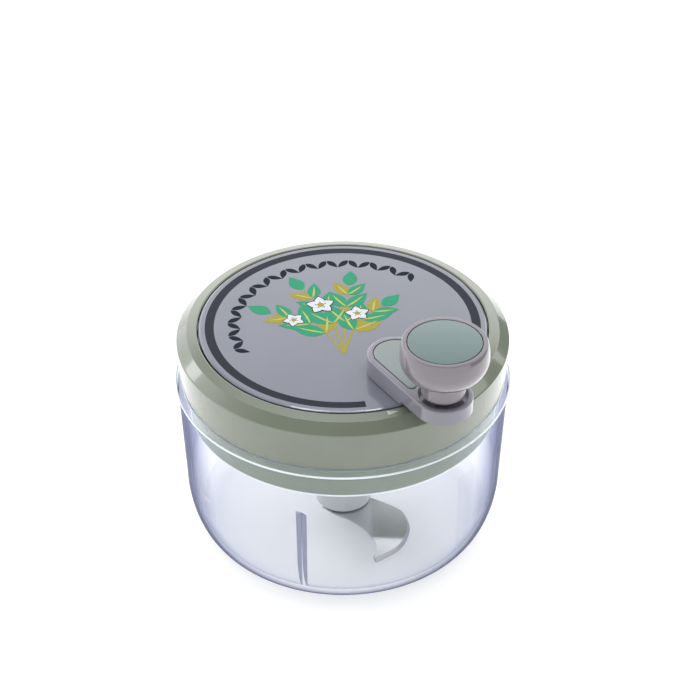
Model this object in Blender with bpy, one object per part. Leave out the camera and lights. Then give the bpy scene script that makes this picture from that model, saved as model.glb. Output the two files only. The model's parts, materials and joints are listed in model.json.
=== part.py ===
"""Manual food chopper: a clear bowl, a geared lid with a folding crank, and a hanging blade unit.

The origin is the centre of the bowl's underside, +Z is up and -Y is the front.
The crank disc carries an internal ring gear. It turns three idlers on pins in the lid, and
they turn the sun gear, whose hexagon drives the blade spindle.
"""

import math

import bmesh
import bpy

MM = 0.001

# Clearances
SEAT_GAP = 0.3 * MM
RUNNING_GAP = 0.4 * MM
FACE_GAP = 0.6 * MM
GEAR_BACKLASH = 0.3 * MM

# Bowl
BOWL_HEIGHT = 69.7 * MM
BOWL_RIM_RADIUS = 63.3 * MM
BOWL_TAPER = 1.9 * MM
BOWL_CORNER_WIDTH = 12.0 * MM
BOWL_CORNER_HEIGHT = 25.0 * MM
BOWL_WALL = 2.2 * MM
BOWL_FLOOR = 2.6 * MM
FLANGE_REACH = 0.9 * MM
FLANGE_THICKNESS = 3.4 * MM
FLANGE_ROUND = 0.8 * MM
RIB_COUNT = 5
RIB_AZIMUTH = math.radians(-105.7)
RIB_THICKNESS = 2.0 * MM
RIB_DEPTH = 7.0 * MM
RIB_TOP = 48.0 * MM
RIB_SLOPE = 9.0 * MM

# Lid base, the cup that hangs into the bowl
SKIRT_CLEARANCE = 2.0 * MM
SKIRT_DEPTH = 14.7 * MM
SKIRT_WALL = 2.2 * MM
LID_FLOOR = 2.5 * MM
LID_FLOOR_RISE = 0.8 * MM
SEAL_HEIGHT = 2.0 * MM
SEAL_GROOVE_DEPTH = 1.0 * MM
SEAL_GROOVE_LEDGE = 1.4 * MM

# Lid cover, the outer shell
COVER_HEIGHT = 19.1 * MM
COVER_INSET = 1.1 * MM
SHOULDER_FLARE = 0.8 * MM
SHOULDER_DROP = 3.5 * MM
SHOULDER_ROUND = 1.2 * MM
BEVEL_WIDTH = 4.0 * MM
LIP_RISE = 0.9 * MM
COVER_WALL = 2.0 * MM
DECK_THICKNESS = 1.8 * MM
BOSS_RADIUS = 3.2 * MM
MARK_AZIMUTH = math.radians(-71.5)
MARK_LENGTH = 4.0 * MM
MARK_HEIGHT = 0.6 * MM

# Gear train
RING_MARGIN = 14.45 * MM
RING_TEETH = 57
IDLER_TEETH = 21
SUN_TEETH = 15
IDLER_COUNT = 3
PRESSURE_ANGLE = math.radians(20.0)
ADDENDUM = 0.8
DEDENDUM = 1.05
GEAR_FACE = 6.4 * MM
RING_WALL = 3.4 * MM
WEB_THICKNESS = 1.5 * MM
WEB_HOLE_RADIUS = 4.0 * MM
RING_FLANGE_LAP = 1.9 * MM
POST_HEIGHT = 2.0 * MM
POST_RADIUS = 4.4 * MM
IDLER_PIN_RADIUS = 2.2 * MM
PIN_HEAD_RADIUS = 3.6 * MM
PIN_HEAD_HEIGHT = 1.1 * MM
PIN_SEAT_DEPTH = 3.2 * MM
IDLER_AZIMUTH = math.radians(90.0)

# Drive through the lid floor
SHAFT_RADIUS = 5.0 * MM
BUSH_WALL = 1.8 * MM
BUSH_FLANGE_REACH = 2.0 * MM
BUSH_FLANGE_THICKNESS = 1.2 * MM
HEX_RADIUS = 4.6 * MM
HEX_DEPTH = 13.0 * MM

# Crank disc
DISC_INSET = 4.65 * MM
DISC_GAP = 0.6 * MM
DISC_PROUD = 1.0 * MM
DISC_THICKNESS = 2.2 * MM
DISC_RIM = 2.0 * MM
DISC_ROUND = 0.7 * MM
RING_BOSS_RADIUS = 3.2 * MM
RING_BOSS_INSET = 20.35 * MM

# Screws
LID_SCREW_RADIUS = 1.4 * MM
LID_SCREW_HEAD_RADIUS = 2.8 * MM
LID_SCREW_HEAD = 1.6 * MM
LID_SCREW_REACH = 10.0 * MM
RING_SCREW_RADIUS = 1.1 * MM
RING_SCREW_HEAD_RADIUS = 2.2 * MM
RING_SCREW_HEAD = 1.1 * MM

# Crank arm
ARM_AZIMUTH = math.radians(-56.6)
ARM_PIVOT_INSET = 18.95 * MM
ARM_LENGTH = 29.5 * MM
ARM_HALF_WIDTH = 10.7 * MM
ARM_RISE = 8.0 * MM
ARM_CLEAR_STEP = 1.7 * MM
ARM_EDGE = 0.6 * MM
ARM_PIN_RADIUS = 3.0 * MM
ARM_PIN_HEAD_RADIUS = 5.0 * MM
ARM_PIN_HEAD = 1.5 * MM
PIVOT_BOSS_RADIUS = 5.6 * MM
PIVOT_BORE_DEPTH = 5.0 * MM
INLAY_MARGIN = 2.3 * MM
INLAY_THICKNESS = 1.3 * MM
INLAY_CORNER = 2.0 * MM

# Knob
KNOB_CUP_RADIUS = 9.4 * MM
KNOB_CUP_DEPTH = 2.2 * MM
KNOB_LIFT = 0.9 * MM
KNOB_NECK_RADIUS = 7.3 * MM
KNOB_NECK_HEIGHT = 6.4 * MM
KNOB_RADIUS = 16.05 * MM
KNOB_TOP_INSET = 1.2 * MM
KNOB_RIM = 1.7 * MM
KNOB_HEIGHT = 22.75 * MM
KNOB_BELLY_DROP = 5.9 * MM
KNOB_WALL = 2.4 * MM
KNOB_HUB_RADIUS = 5.0 * MM
KNOB_PIN_RADIUS = 2.5 * MM
KNOB_PIN_HEAD_RADIUS = 4.6 * MM
KNOB_PIN_HEAD = 1.4 * MM
KNOB_PIN_SEAT = 3.0 * MM
CAP_THICKNESS = 1.4 * MM
CAP_DOME = 0.3 * MM

# Blade unit
SPINDLE_FOOT = 6.4 * MM
SPINDLE_FOOT_RADIUS = 10.9 * MM
SPINDLE_TOP_RADIUS = 11.7 * MM
SPINDLE_ROUND = 0.8 * MM
SPINDLE_HEAD_GAP = 1.0 * MM
BLADE_THICKNESS = 2.0 * MM
BLADE_STEP = 15.5 * MM
BLADE_ROOT_RADIUS = 9.8 * MM
TANG_HALF_WIDTH = 4.5 * MM
TANG_START = 3.0 * MM
TANG_END = 12.0 * MM
TANG_FILLET = 1.4 * MM
SERRATION_COUNT = 11
SERRATION_DEPTH = 0.5 * MM
BLADE_TIP = (11.8 * MM, -38.8 * MM)
BLADE_OUTER_WAYPOINTS = ((21.0 * MM, -7.6 * MM), (25.7 * MM, -18.9 * MM), (21.8 * MM, -30.2 * MM))
BLADE_INNER_WAYPOINTS = ((13.1 * MM, -31.0 * MM), (11.6 * MM, -25.8 * MM))
LOWER_EDGE_WAYPOINTS = ((5.0 * MM, -16.6 * MM), (-2.5 * MM, -11.4 * MM))
LOWER_EDGE_END = -150.0
UPPER_EDGE_WAYPOINTS = ((9.6 * MM, -19.0 * MM), (10.8 * MM, -11.0 * MM))
SPINDLE_BORE_DEPTH = 6.0 * MM
BLADE_CAP_RADIUS = 5.4 * MM
BLADE_CAP_HEIGHT = 0.8 * MM
BLADE_CAP_STEM = 3.0 * MM

# Facets of the round pieces
LARGE_STEPS = 44
MEDIUM_STEPS = 24
SMALL_STEPS = 12
SMOOTH_ANGLE = math.radians(35.0)

# Pieces whose cuts the exact solver leaves open
MANIFOLD_PIECES = ("bowl", "lid_cover", "crank_arm", "blade_spindle")

# Heights that follow
FLANGE_UNDER = BOWL_HEIGHT - FLANGE_THICKNESS
COVER_FOOT = BOWL_HEIGHT + SEAT_GAP
COVER_TOP = COVER_FOOT + COVER_HEIGHT
LIP_TOP = COVER_TOP + LIP_RISE
DISC_TOP = COVER_TOP + DISC_PROUD
DISC_UNDER = DISC_TOP - DISC_THICKNESS
LID_FLOOR_TOP = COVER_FOOT + LID_FLOOR_RISE
LID_FLOOR_UNDER = LID_FLOOR_TOP - LID_FLOOR
SKIRT_FOOT = BOWL_HEIGHT - SKIRT_DEPTH
POST_TOP = LID_FLOOR_TOP + POST_HEIGHT
GEAR_FOOT = POST_TOP + SEAT_GAP
GEAR_TOP = GEAR_FOOT + GEAR_FACE
PIN_HEAD_FOOT = GEAR_TOP + SEAT_GAP
PIN_HEAD_TOP = PIN_HEAD_FOOT + PIN_HEAD_HEIGHT
WEB_UNDER = PIN_HEAD_TOP + FACE_GAP
WEB_TOP = WEB_UNDER + WEB_THICKNESS
DECK_UNDER = WEB_TOP + RUNNING_GAP
DECK_TOP = DECK_UNDER + DECK_THICKNESS
DISC_RIM_FOOT = DECK_TOP + SEAT_GAP
DISC_BEARING_FOOT = WEB_TOP + SEAT_GAP
ARM_UNDER = DISC_TOP + SEAT_GAP
ARM_TOP = DISC_TOP + ARM_RISE
KNOB_TOP = ARM_TOP + KNOB_HEIGHT
KNOB_FOOT = ARM_TOP + KNOB_LIFT
SPINDLE_TOP = LID_FLOOR_UNDER - SPINDLE_HEAD_GAP

# Radii that follow
BOWL_FOOT_RADIUS = BOWL_RIM_RADIUS - BOWL_TAPER
FLANGE_RADIUS = BOWL_RIM_RADIUS + FLANGE_REACH
BOWL_MOUTH_RADIUS = BOWL_RIM_RADIUS - BOWL_WALL
SKIRT_RADIUS = BOWL_MOUTH_RADIUS - SKIRT_CLEARANCE
COVER_FOOT_RADIUS = BOWL_RIM_RADIUS - COVER_INSET
SHOULDER_RADIUS = COVER_FOOT_RADIUS + SHOULDER_FLARE
CREASE_RADIUS = SHOULDER_RADIUS - BEVEL_WIDTH
DISC_RADIUS = CREASE_RADIUS - DISC_INSET
LID_EDGE_RADIUS = COVER_FOOT_RADIUS - COVER_WALL - SEAT_GAP
RING_BOSS_CIRCLE = DISC_RADIUS - RING_BOSS_INSET
ARM_PIVOT_RADIUS = DISC_RADIUS - ARM_PIVOT_INSET
GEAR_MODULE = 2 * (DISC_RADIUS - RING_MARGIN) / RING_TEETH
RING_PITCH = GEAR_MODULE * RING_TEETH / 2
IDLER_PITCH = GEAR_MODULE * IDLER_TEETH / 2
SUN_PITCH = GEAR_MODULE * SUN_TEETH / 2
IDLER_CIRCLE = RING_PITCH - IDLER_PITCH
RING_OUTER = RING_PITCH + DEDENDUM * GEAR_MODULE + RING_WALL
DECK_RADIUS = RING_OUTER + RUNNING_GAP
RING_FLANGE_RADIUS = DECK_RADIUS + RING_FLANGE_LAP
LID_BOSS_CIRCLE = RING_FLANGE_RADIUS + FACE_GAP + BOSS_RADIUS
RECESS_RADIUS = DISC_RADIUS + DISC_GAP
BUSH_RADIUS = SHAFT_RADIUS + SEAT_GAP + BUSH_WALL
KNOB_TOP_RADIUS = KNOB_RADIUS - KNOB_TOP_INSET
CAP_RADIUS = KNOB_TOP_RADIUS - KNOB_RIM
BLADE_UNDER = SPINDLE_FOOT - SEAT_GAP - BLADE_THICKNESS


def clear_scene():
    for item in list(bpy.data.objects):
        bpy.data.objects.remove(item, do_unlink=True)


def material(name, colour, roughness, metallic=0.0, transmission=0.0):
    finish = bpy.data.materials.new(name)
    finish.use_nodes = True
    shader = finish.node_tree.nodes["Principled BSDF"]
    shader.inputs["Base Color"].default_value = (*colour, 1.0)
    shader.inputs["Roughness"].default_value = roughness
    shader.inputs["Metallic"].default_value = metallic
    shader.inputs["Transmission Weight"].default_value = transmission
    finish.diffuse_color = (*colour, 1.0)
    return finish


def empty(name, parent=None, location=(0, 0, 0), turn=0.0):
    axis = bpy.data.objects.new(name, None)
    bpy.context.collection.objects.link(axis)
    axis.location = location
    axis.rotation_euler = (0, 0, turn)
    axis.parent = parent
    return axis


def finish_object(name, bm, finish, parent=None, location=(0, 0, 0), turn=0.0):
    bmesh.ops.recalc_face_normals(bm, faces=bm.faces)
    mesh = bpy.data.meshes.new(name)
    bm.to_mesh(mesh)
    bm.free()
    mesh.shade_smooth()
    mesh.set_sharp_from_angle(angle=SMOOTH_ANGLE)
    if finish:
        mesh.materials.append(finish)
    piece = bpy.data.objects.new(name, mesh)
    bpy.context.collection.objects.link(piece)
    piece.parent = parent
    piece.location = location
    piece.rotation_euler = (0, 0, turn)
    return piece


def oval(centre, half_width, half_height, start, end, count):
    """Points along an ellipse of the (r, z) or (x, y) plane, from start to end in degrees."""
    points = []
    for step in range(count + 1):
        angle = math.radians(start + (end - start) * step / count)
        points.append((centre[0] + half_width * math.cos(angle), centre[1] + half_height * math.sin(angle)))
    return points


def arc(centre, radius, start, end, count):
    return oval(centre, radius, radius, start, end, count)


def turned(outline, steps):
    """A body of revolution about Z. An outline that starts and ends on the axis stays open there."""
    bm = bmesh.new()
    points = [bm.verts.new((radius, 0, height)) for radius, height in outline]
    edges = [bm.edges.new(pair) for pair in zip(points, points[1:])]
    if outline[0][0] > 0 or outline[-1][0] > 0:
        edges.append(bm.edges.new((points[-1], points[0])))
    bmesh.ops.spin(bm, geom=points + edges, cent=(0, 0, 0), axis=(0, 0, 1), angle=math.tau,
                   steps=steps, use_merge=True)
    bmesh.ops.remove_doubles(bm, verts=bm.verts, dist=0.001 * MM)
    return bm


def plate(loops, low, high):
    """A flat plate from low to high. The first loop is its outline and the others are holes."""
    bm = bmesh.new()
    for loop in loops:
        points = [bm.verts.new((x, y, low)) for x, y in loop]
        for index, point in enumerate(points):
            bm.edges.new((point, points[(index + 1) % len(points)]))
    bmesh.ops.triangle_fill(bm, use_beauty=True, use_dissolve=False, edges=bm.edges)
    grown = bmesh.ops.extrude_face_region(bm, geom=bm.faces[:])
    lifted = [item for item in grown["geom"] if isinstance(item, bmesh.types.BMVert)]
    bmesh.ops.translate(bm, verts=lifted, vec=(0, 0, high - low))
    return bm


def circle(radius, steps, centre=(0, 0), start=0.0):
    points = []
    for step in range(steps):
        angle = start + math.tau * step / steps
        points.append((centre[0] + radius * math.cos(angle), centre[1] + radius * math.sin(angle)))
    return points


def rod(radius, low, high, steps=SMALL_STEPS, centre=(0, 0)):
    return plate([circle(radius, steps, centre)], low, high)


def rectangle(low, high):
    return [(low[0], low[1]), (high[0], low[1]), (high[0], high[1]), (low[0], high[1])]


def round_about(count, radius, start):
    """Azimuths and centres of copies spread evenly round the Z axis."""
    places = []
    for index in range(count):
        azimuth = start + math.tau * index / count
        places.append((azimuth, (radius * math.cos(azimuth), radius * math.sin(azimuth))))
    return places


def combine(piece, tool_mesh, operation, parent=None, turn=0.0):
    """Adds or cuts the shape of a hidden tool, which stays on the piece as a live Boolean."""
    tool = finish_object(piece.name + "_tool", tool_mesh, None, parent, turn=turn)
    tool.hide_render = True
    tool.display_type = "WIRE"
    step = piece.modifiers.new(operation.lower(), "BOOLEAN")
    step.operation = operation
    step.solver = "MANIFOLD" if piece.name in MANIFOLD_PIECES else "EXACT"
    step.object = tool


def cut(piece, tool_mesh, parent=None, turn=0.0):
    combine(piece, tool_mesh, "DIFFERENCE", parent, turn)


def add(piece, tool_mesh, parent=None, turn=0.0):
    combine(piece, tool_mesh, "UNION", parent, turn)


def smooth_path(points, per_span):
    """A Catmull-Rom curve through the points, which keeps its first and last point."""
    first = (2 * points[0][0] - points[1][0], 2 * points[0][1] - points[1][1])
    last = (2 * points[-1][0] - points[-2][0], 2 * points[-1][1] - points[-2][1])
    knots = [first, *points, last]
    path = []
    for index in range(1, len(knots) - 2):
        before, here, after, beyond = knots[index - 1:index + 3]
        for step in range(per_span):
            t = step / per_span
            point = []
            for axis in (0, 1):
                bend = (2 * here[axis] + (after[axis] - before[axis]) * t
                        + (2 * before[axis] - 5 * here[axis] + 4 * after[axis] - beyond[axis]) * t ** 2
                        + (3 * here[axis] - before[axis] - 3 * after[axis] + beyond[axis]) * t ** 3)
                point.append(bend / 2)
            path.append(tuple(point))
    path.append(points[-1])
    return path


def involute(angle):
    return math.tan(angle) - angle


def flank_angle(radius, pitch_radius, half_at_pitch):
    """Half the angle that an involute tooth fills at this radius, seen from the gear's centre."""
    base = pitch_radius * math.cos(PRESSURE_ANGLE)
    local = math.acos(min(1.0, base / max(radius, base)))
    return half_at_pitch + involute(PRESSURE_ANGLE) - involute(local)


def gear_outline(teeth, phase, internal=False):
    """A gear's outline with a tooth, or an internal gear's space, centred at the phase angle."""
    pitch_radius = GEAR_MODULE * teeth / 2
    slack = GEAR_BACKLASH if internal else -GEAR_BACKLASH
    half_at_pitch = (math.pi * GEAR_MODULE / 2 + slack) / 2 / pitch_radius
    inner = pitch_radius - (ADDENDUM if internal else DEDENDUM) * GEAR_MODULE
    outer = pitch_radius + (DEDENDUM if internal else ADDENDUM) * GEAR_MODULE
    points = []
    for tooth in range(teeth):
        middle = phase + math.tau * tooth / teeth
        rising = [(radius, middle - flank_angle(radius, pitch_radius, half_at_pitch)) for radius in (inner, outer)]
        falling = [(radius, 2 * middle - angle) for radius, angle in reversed(rising)]
        for radius, angle in rising + falling:
            points.append((radius * math.cos(angle), radius * math.sin(angle)))
    return points


def idler_phase(azimuth):
    """The idler's tooth phase that meshes with a sun whose first tooth lies at azimuth 0."""
    sun_step = math.tau / SUN_TEETH
    lead = -math.remainder(azimuth, sun_step)
    space = azimuth + math.pi - lead * SUN_PITCH / IDLER_PITCH
    return space + math.pi / IDLER_TEETH


def ring_phase():
    """The ring's space phase that meshes with the first idler."""
    lead = math.remainder(idler_phase(IDLER_AZIMUTH) - IDLER_AZIMUTH, math.tau / IDLER_TEETH)
    return IDLER_AZIMUTH + lead * IDLER_PITCH / RING_PITCH


def bowl_wall_radius(height):
    """Outer radius of the bowl's tapered wall at this height."""
    share = (height - BOWL_CORNER_HEIGHT) / (FLANGE_UNDER - BOWL_CORNER_HEIGHT)
    return BOWL_FOOT_RADIUS + (BOWL_RIM_RADIUS - BOWL_FOOT_RADIUS) * share


def make_bowl(clear):
    corner_centre = (BOWL_FOOT_RADIUS - BOWL_CORNER_WIDTH, BOWL_CORNER_HEIGHT)
    inner_width = BOWL_CORNER_WIDTH - BOWL_WALL
    inner_height = BOWL_CORNER_HEIGHT - BOWL_FLOOR
    round_centre = FLANGE_RADIUS - FLANGE_ROUND
    outline = [(0, 0)]
    outline += oval(corner_centre, BOWL_CORNER_WIDTH, BOWL_CORNER_HEIGHT, -90, 0, 6)
    outline += [(BOWL_RIM_RADIUS, FLANGE_UNDER)]
    outline += arc((round_centre, FLANGE_UNDER + FLANGE_ROUND), FLANGE_ROUND, -90, 0, 2)
    outline += arc((round_centre, BOWL_HEIGHT - FLANGE_ROUND), FLANGE_ROUND, 0, 90, 2)
    outline += [(BOWL_MOUTH_RADIUS, BOWL_HEIGHT)]
    outline += oval(corner_centre, inner_width, inner_height, 0, -90, 5)
    outline += [(0, BOWL_FLOOR)]
    bowl = finish_object("bowl", turned(outline, LARGE_STEPS), clear)
    sunk = BOWL_WALL / 2
    for azimuth, _ in round_about(RIB_COUNT, 0, RIB_AZIMUTH):
        top_radius = bowl_wall_radius(RIB_TOP) - sunk
        inner_edge = top_radius + sunk - BOWL_WALL - RIB_DEPTH
        buried_width = BOWL_CORNER_WIDTH - sunk
        foot_angle = -math.degrees(math.acos((inner_edge - corner_centre[0]) / buried_width))
        side = [(top_radius, RIB_TOP), (inner_edge, RIB_TOP - RIB_SLOPE)]
        side += oval(corner_centre, buried_width, BOWL_CORNER_HEIGHT - sunk, foot_angle, 0, 4)
        rib = bmesh.new()
        face = rib.faces.new([rib.verts.new((r, -RIB_THICKNESS / 2, z)) for r, z in side])
        grown = bmesh.ops.extrude_face_region(rib, geom=[face])
        far = [item for item in grown["geom"] if isinstance(item, bmesh.types.BMVert)]
        bmesh.ops.translate(rib, verts=far, vec=(0, RIB_THICKNESS, 0))
        bmesh.ops.recalc_face_normals(rib, faces=rib.faces)
        add(bowl, rib, turn=azimuth)
    return bowl


def make_lid_base(sage, lid):
    groove_top = LID_FLOOR_TOP - SEAL_GROOVE_LEDGE
    groove_foot = groove_top - SEAL_HEIGHT - 2 * SEAT_GAP
    groove_radius = SKIRT_RADIUS - SEAL_GROOVE_DEPTH
    lead = SKIRT_WALL / 4
    bore = BUSH_RADIUS + SEAT_GAP
    outline = [(bore, LID_FLOOR_UNDER), (bore, LID_FLOOR_TOP), (LID_EDGE_RADIUS, LID_FLOOR_TOP),
               (LID_EDGE_RADIUS, groove_top), (groove_radius, groove_top), (groove_radius, groove_foot),
               (SKIRT_RADIUS, groove_foot), (SKIRT_RADIUS, SKIRT_FOOT + lead),
               (SKIRT_RADIUS - lead, SKIRT_FOOT), (SKIRT_RADIUS - SKIRT_WALL, SKIRT_FOOT),
               (SKIRT_RADIUS - SKIRT_WALL, LID_FLOOR_UNDER)]
    outline.reverse()
    base = finish_object("lid_base", turned(outline, LARGE_STEPS), sage, lid)
    bite = LID_FLOOR / 2
    for _, centre in round_about(IDLER_COUNT, IDLER_CIRCLE, IDLER_AZIMUTH):
        add(base, rod(POST_RADIUS, LID_FLOOR_TOP - bite, POST_TOP, centre=centre), lid)
        seat = rod(IDLER_PIN_RADIUS + SEAT_GAP, POST_TOP - PIN_SEAT_DEPTH - SEAT_GAP, POST_TOP + bite,
                   centre=centre)
        cut(base, seat, lid)
    for _, centre in lid_screw_places():
        hole = rod(LID_SCREW_RADIUS + SEAT_GAP, LID_FLOOR_UNDER - bite, LID_FLOOR_TOP + bite, centre=centre)
        cut(base, hole, lid)
    return base


def make_sealing_ring(rubber, lid):
    foot = LID_FLOOR_TOP - SEAL_GROOVE_LEDGE - SEAT_GAP - SEAL_HEIGHT
    inner = SKIRT_RADIUS - SEAL_GROOVE_DEPTH + SEAT_GAP
    outer = bowl_wall_radius(foot) - BOWL_WALL - SEAT_GAP
    edge = outer - SEAL_HEIGHT / 4
    outline = [(inner, foot), (edge, foot), (outer, foot + SEAL_HEIGHT / 2), (edge, foot + SEAL_HEIGHT),
               (inner, foot + SEAL_HEIGHT)]
    return finish_object("sealing_ring", turned(outline, LARGE_STEPS), rubber, lid)


def lid_screw_places():
    return round_about(3, LID_BOSS_CIRCLE, IDLER_AZIMUTH + math.pi / 3)


def make_lid_cover(sage, lid):
    shoulder = COVER_TOP - SHOULDER_DROP
    slope = math.degrees(math.atan2(SHOULDER_DROP, SHOULDER_RADIUS - CREASE_RADIUS))
    round_centre = (SHOULDER_RADIUS - SHOULDER_ROUND, shoulder - SHOULDER_ROUND * 0.4)
    inner_top = COVER_TOP - COVER_WALL
    pocket = RECESS_RADIUS + COVER_WALL * 0.8
    outline = [(COVER_FOOT_RADIUS, COVER_FOOT)]
    outline += arc(round_centre, SHOULDER_ROUND, 0, 90 - slope, 3)
    outline += [((SHOULDER_RADIUS + CREASE_RADIUS) / 2, COVER_TOP - SHOULDER_DROP * 0.36)]
    outline += [(CREASE_RADIUS, COVER_TOP), (RECESS_RADIUS + DISC_GAP / 2, LIP_TOP)]
    outline += [(RECESS_RADIUS, LIP_TOP - DISC_GAP / 2), (RECESS_RADIUS, DECK_TOP)]
    outline += [(DECK_RADIUS, DECK_TOP), (DECK_RADIUS, DECK_UNDER), (pocket, DECK_UNDER)]
    outline += [(pocket, inner_top), (CREASE_RADIUS, inner_top)]
    outline += [(SHOULDER_RADIUS - COVER_WALL, shoulder - COVER_WALL)]
    outline += [(COVER_FOOT_RADIUS - COVER_WALL, COVER_FOOT)]
    cover = finish_object("lid_cover", turned(outline, LARGE_STEPS), sage, lid)
    bite = DECK_THICKNESS / 2
    boss_foot = LID_FLOOR_TOP + SEAT_GAP
    for _, centre in lid_screw_places():
        add(cover, rod(BOSS_RADIUS, boss_foot, DECK_UNDER + bite, centre=centre), lid)
        hole = rod(LID_SCREW_RADIUS + SEAT_GAP, boss_foot - bite, boss_foot + LID_SCREW_REACH, centre=centre)
        cut(cover, hole, lid)
    add(cover, position_mark(), lid, MARK_AZIMUTH)
    return cover


def position_mark():
    """The small raised triangle on the lid's top ring, beside the crank's rest position."""
    middle = (RECESS_RADIUS + CREASE_RADIUS) / 2
    reach = (CREASE_RADIUS - RECESS_RADIUS) * 0.3
    outline = [(middle - reach, -MARK_LENGTH / 2), (middle + reach, -MARK_LENGTH / 2), (middle, MARK_LENGTH / 2)]
    ring_height = (COVER_TOP + LIP_TOP) / 2
    return plate([outline], ring_height - 2 * MARK_HEIGHT, ring_height + MARK_HEIGHT)


def make_drive_bush(brass, lid):
    bore = SHAFT_RADIUS + SEAT_GAP
    seat = LID_FLOOR_TOP + SEAT_GAP
    outline = [(bore, LID_FLOOR_UNDER), (BUSH_RADIUS, LID_FLOOR_UNDER), (BUSH_RADIUS, seat),
               (BUSH_RADIUS + BUSH_FLANGE_REACH, seat),
               (BUSH_RADIUS + BUSH_FLANGE_REACH, seat + BUSH_FLANGE_THICKNESS),
               (bore, seat + BUSH_FLANGE_THICKNESS)]
    return finish_object("drive_bush", turned(outline, SMALL_STEPS * 3 // 2), brass, lid)


def headed_pin(radius, head_radius, foot, head_foot, head_top):
    """A plain shank with its head at the top."""
    outline = [(0, foot), (radius, foot), (radius, head_foot), (head_radius, head_foot),
               (head_radius, head_top), (0, head_top)]
    return turned(outline, SMALL_STEPS)


def screw_from_below(radius, head_radius, head_foot, head_top, tip):
    """A screw whose head is at the bottom and whose shank ends in a point."""
    outline = [(0, head_foot), (head_radius, head_foot), (head_radius, head_top), (radius, head_top),
               (radius, tip - radius), (0, tip)]
    return turned(outline, SMALL_STEPS)


def make_idlers(gear_plastic, steel, lid):
    seat_foot = POST_TOP - PIN_SEAT_DEPTH
    for index, (azimuth, centre) in enumerate(round_about(IDLER_COUNT, IDLER_CIRCLE, IDLER_AZIMUTH)):
        place = (*centre, 0)
        pin = headed_pin(IDLER_PIN_RADIUS, PIN_HEAD_RADIUS, seat_foot, PIN_HEAD_FOOT, PIN_HEAD_TOP)
        finish_object(f"idler_pin_{index + 1}", pin, steel, lid, place)
        bore = circle(IDLER_PIN_RADIUS + SEAT_GAP, SMALL_STEPS)
        loops = [gear_outline(IDLER_TEETH, idler_phase(azimuth)), bore]
        finish_object(f"idler_gear_{index + 1}", plate(loops, GEAR_FOOT, GEAR_TOP), gear_plastic, lid, place)


def make_lid_screws(steel, lid):
    head_top = LID_FLOOR_UNDER - SEAT_GAP
    tip = LID_FLOOR_TOP + LID_SCREW_REACH - SEAT_GAP
    for index, (_, centre) in enumerate(lid_screw_places()):
        screw = screw_from_below(LID_SCREW_RADIUS, LID_SCREW_HEAD_RADIUS, head_top - LID_SCREW_HEAD, head_top, tip)
        finish_object(f"lid_screw_{index + 1}", screw, steel, lid, (*centre, 0))


def ring_screw_places():
    return round_about(3, RING_BOSS_CIRCLE, ARM_AZIMUTH + math.pi / 3)


def make_crank_disc(grey, crank):
    edge = DISC_RADIUS - DISC_ROUND
    bearing_inner = RING_OUTER - RING_WALL / 2
    outline = [(0, DISC_UNDER), (bearing_inner, DISC_UNDER), (bearing_inner, DISC_BEARING_FOOT),
               (RING_OUTER, DISC_BEARING_FOOT), (RING_OUTER, DISC_UNDER), (DISC_RADIUS - DISC_RIM, DISC_UNDER),
               (DISC_RADIUS - DISC_RIM, DISC_RIM_FOOT), (DISC_RADIUS, DISC_RIM_FOOT)]
    outline += arc((edge, DISC_TOP - DISC_ROUND), DISC_ROUND, 0, 90, 3)
    outline += [(0, DISC_TOP)]
    disc = finish_object("crank_disc", turned(outline, LARGE_STEPS), grey, crank)
    bite = DISC_THICKNESS / 2
    hole_top = DISC_UNDER - SEAT_GAP
    for _, centre in ring_screw_places():
        add(disc, rod(RING_BOSS_RADIUS, DISC_BEARING_FOOT, DISC_UNDER + bite, centre=centre), crank)
        hole = rod(RING_SCREW_RADIUS + SEAT_GAP, DISC_BEARING_FOOT - bite, hole_top, centre=centre)
        cut(disc, hole, crank)
    pivot = (ARM_PIVOT_RADIUS * math.cos(ARM_AZIMUTH), ARM_PIVOT_RADIUS * math.sin(ARM_AZIMUTH))
    add(disc, rod(PIVOT_BOSS_RADIUS, DISC_BEARING_FOOT, DISC_UNDER + bite, centre=pivot), crank)
    bore_foot = DISC_TOP - PIVOT_BORE_DEPTH
    cut(disc, rod(ARM_PIN_RADIUS + SEAT_GAP, bore_foot, DISC_TOP + bite, centre=pivot), crank)
    return disc


def make_ring_gear(gear_plastic, crank):
    outline = [(WEB_HOLE_RADIUS, WEB_UNDER), (RING_FLANGE_RADIUS, WEB_UNDER), (RING_FLANGE_RADIUS, WEB_TOP),
               (WEB_HOLE_RADIUS, WEB_TOP)]
    ring = finish_object("ring_gear", turned(outline, LARGE_STEPS), gear_plastic, crank)
    loops = [circle(RING_OUTER, LARGE_STEPS), gear_outline(RING_TEETH, ring_phase(), internal=True)]
    add(ring, plate(loops, GEAR_FOOT, WEB_UNDER + WEB_THICKNESS / 2), crank)
    for _, centre in ring_screw_places():
        hole = rod(RING_SCREW_RADIUS + SEAT_GAP, WEB_UNDER - WEB_THICKNESS, WEB_TOP + WEB_THICKNESS, centre=centre)
        cut(ring, hole, crank)
    return ring


def make_ring_screws(steel, crank):
    head_top = WEB_UNDER - SEAT_GAP / 2
    tip = DISC_UNDER - 2 * SEAT_GAP
    for index, (_, centre) in enumerate(ring_screw_places()):
        screw = screw_from_below(RING_SCREW_RADIUS, RING_SCREW_HEAD_RADIUS, head_top - RING_SCREW_HEAD, head_top, tip)
        finish_object(f"ring_screw_{index + 1}", screw, steel, crank, (*centre, 0))


def stadium(half_width, length, steps):
    """The outline of a bar with round ends, from the origin along +X."""
    outline = arc((length, 0), half_width, -90, 90, steps)
    outline += arc((0, 0), half_width, 90, 270, steps)
    return outline


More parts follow.
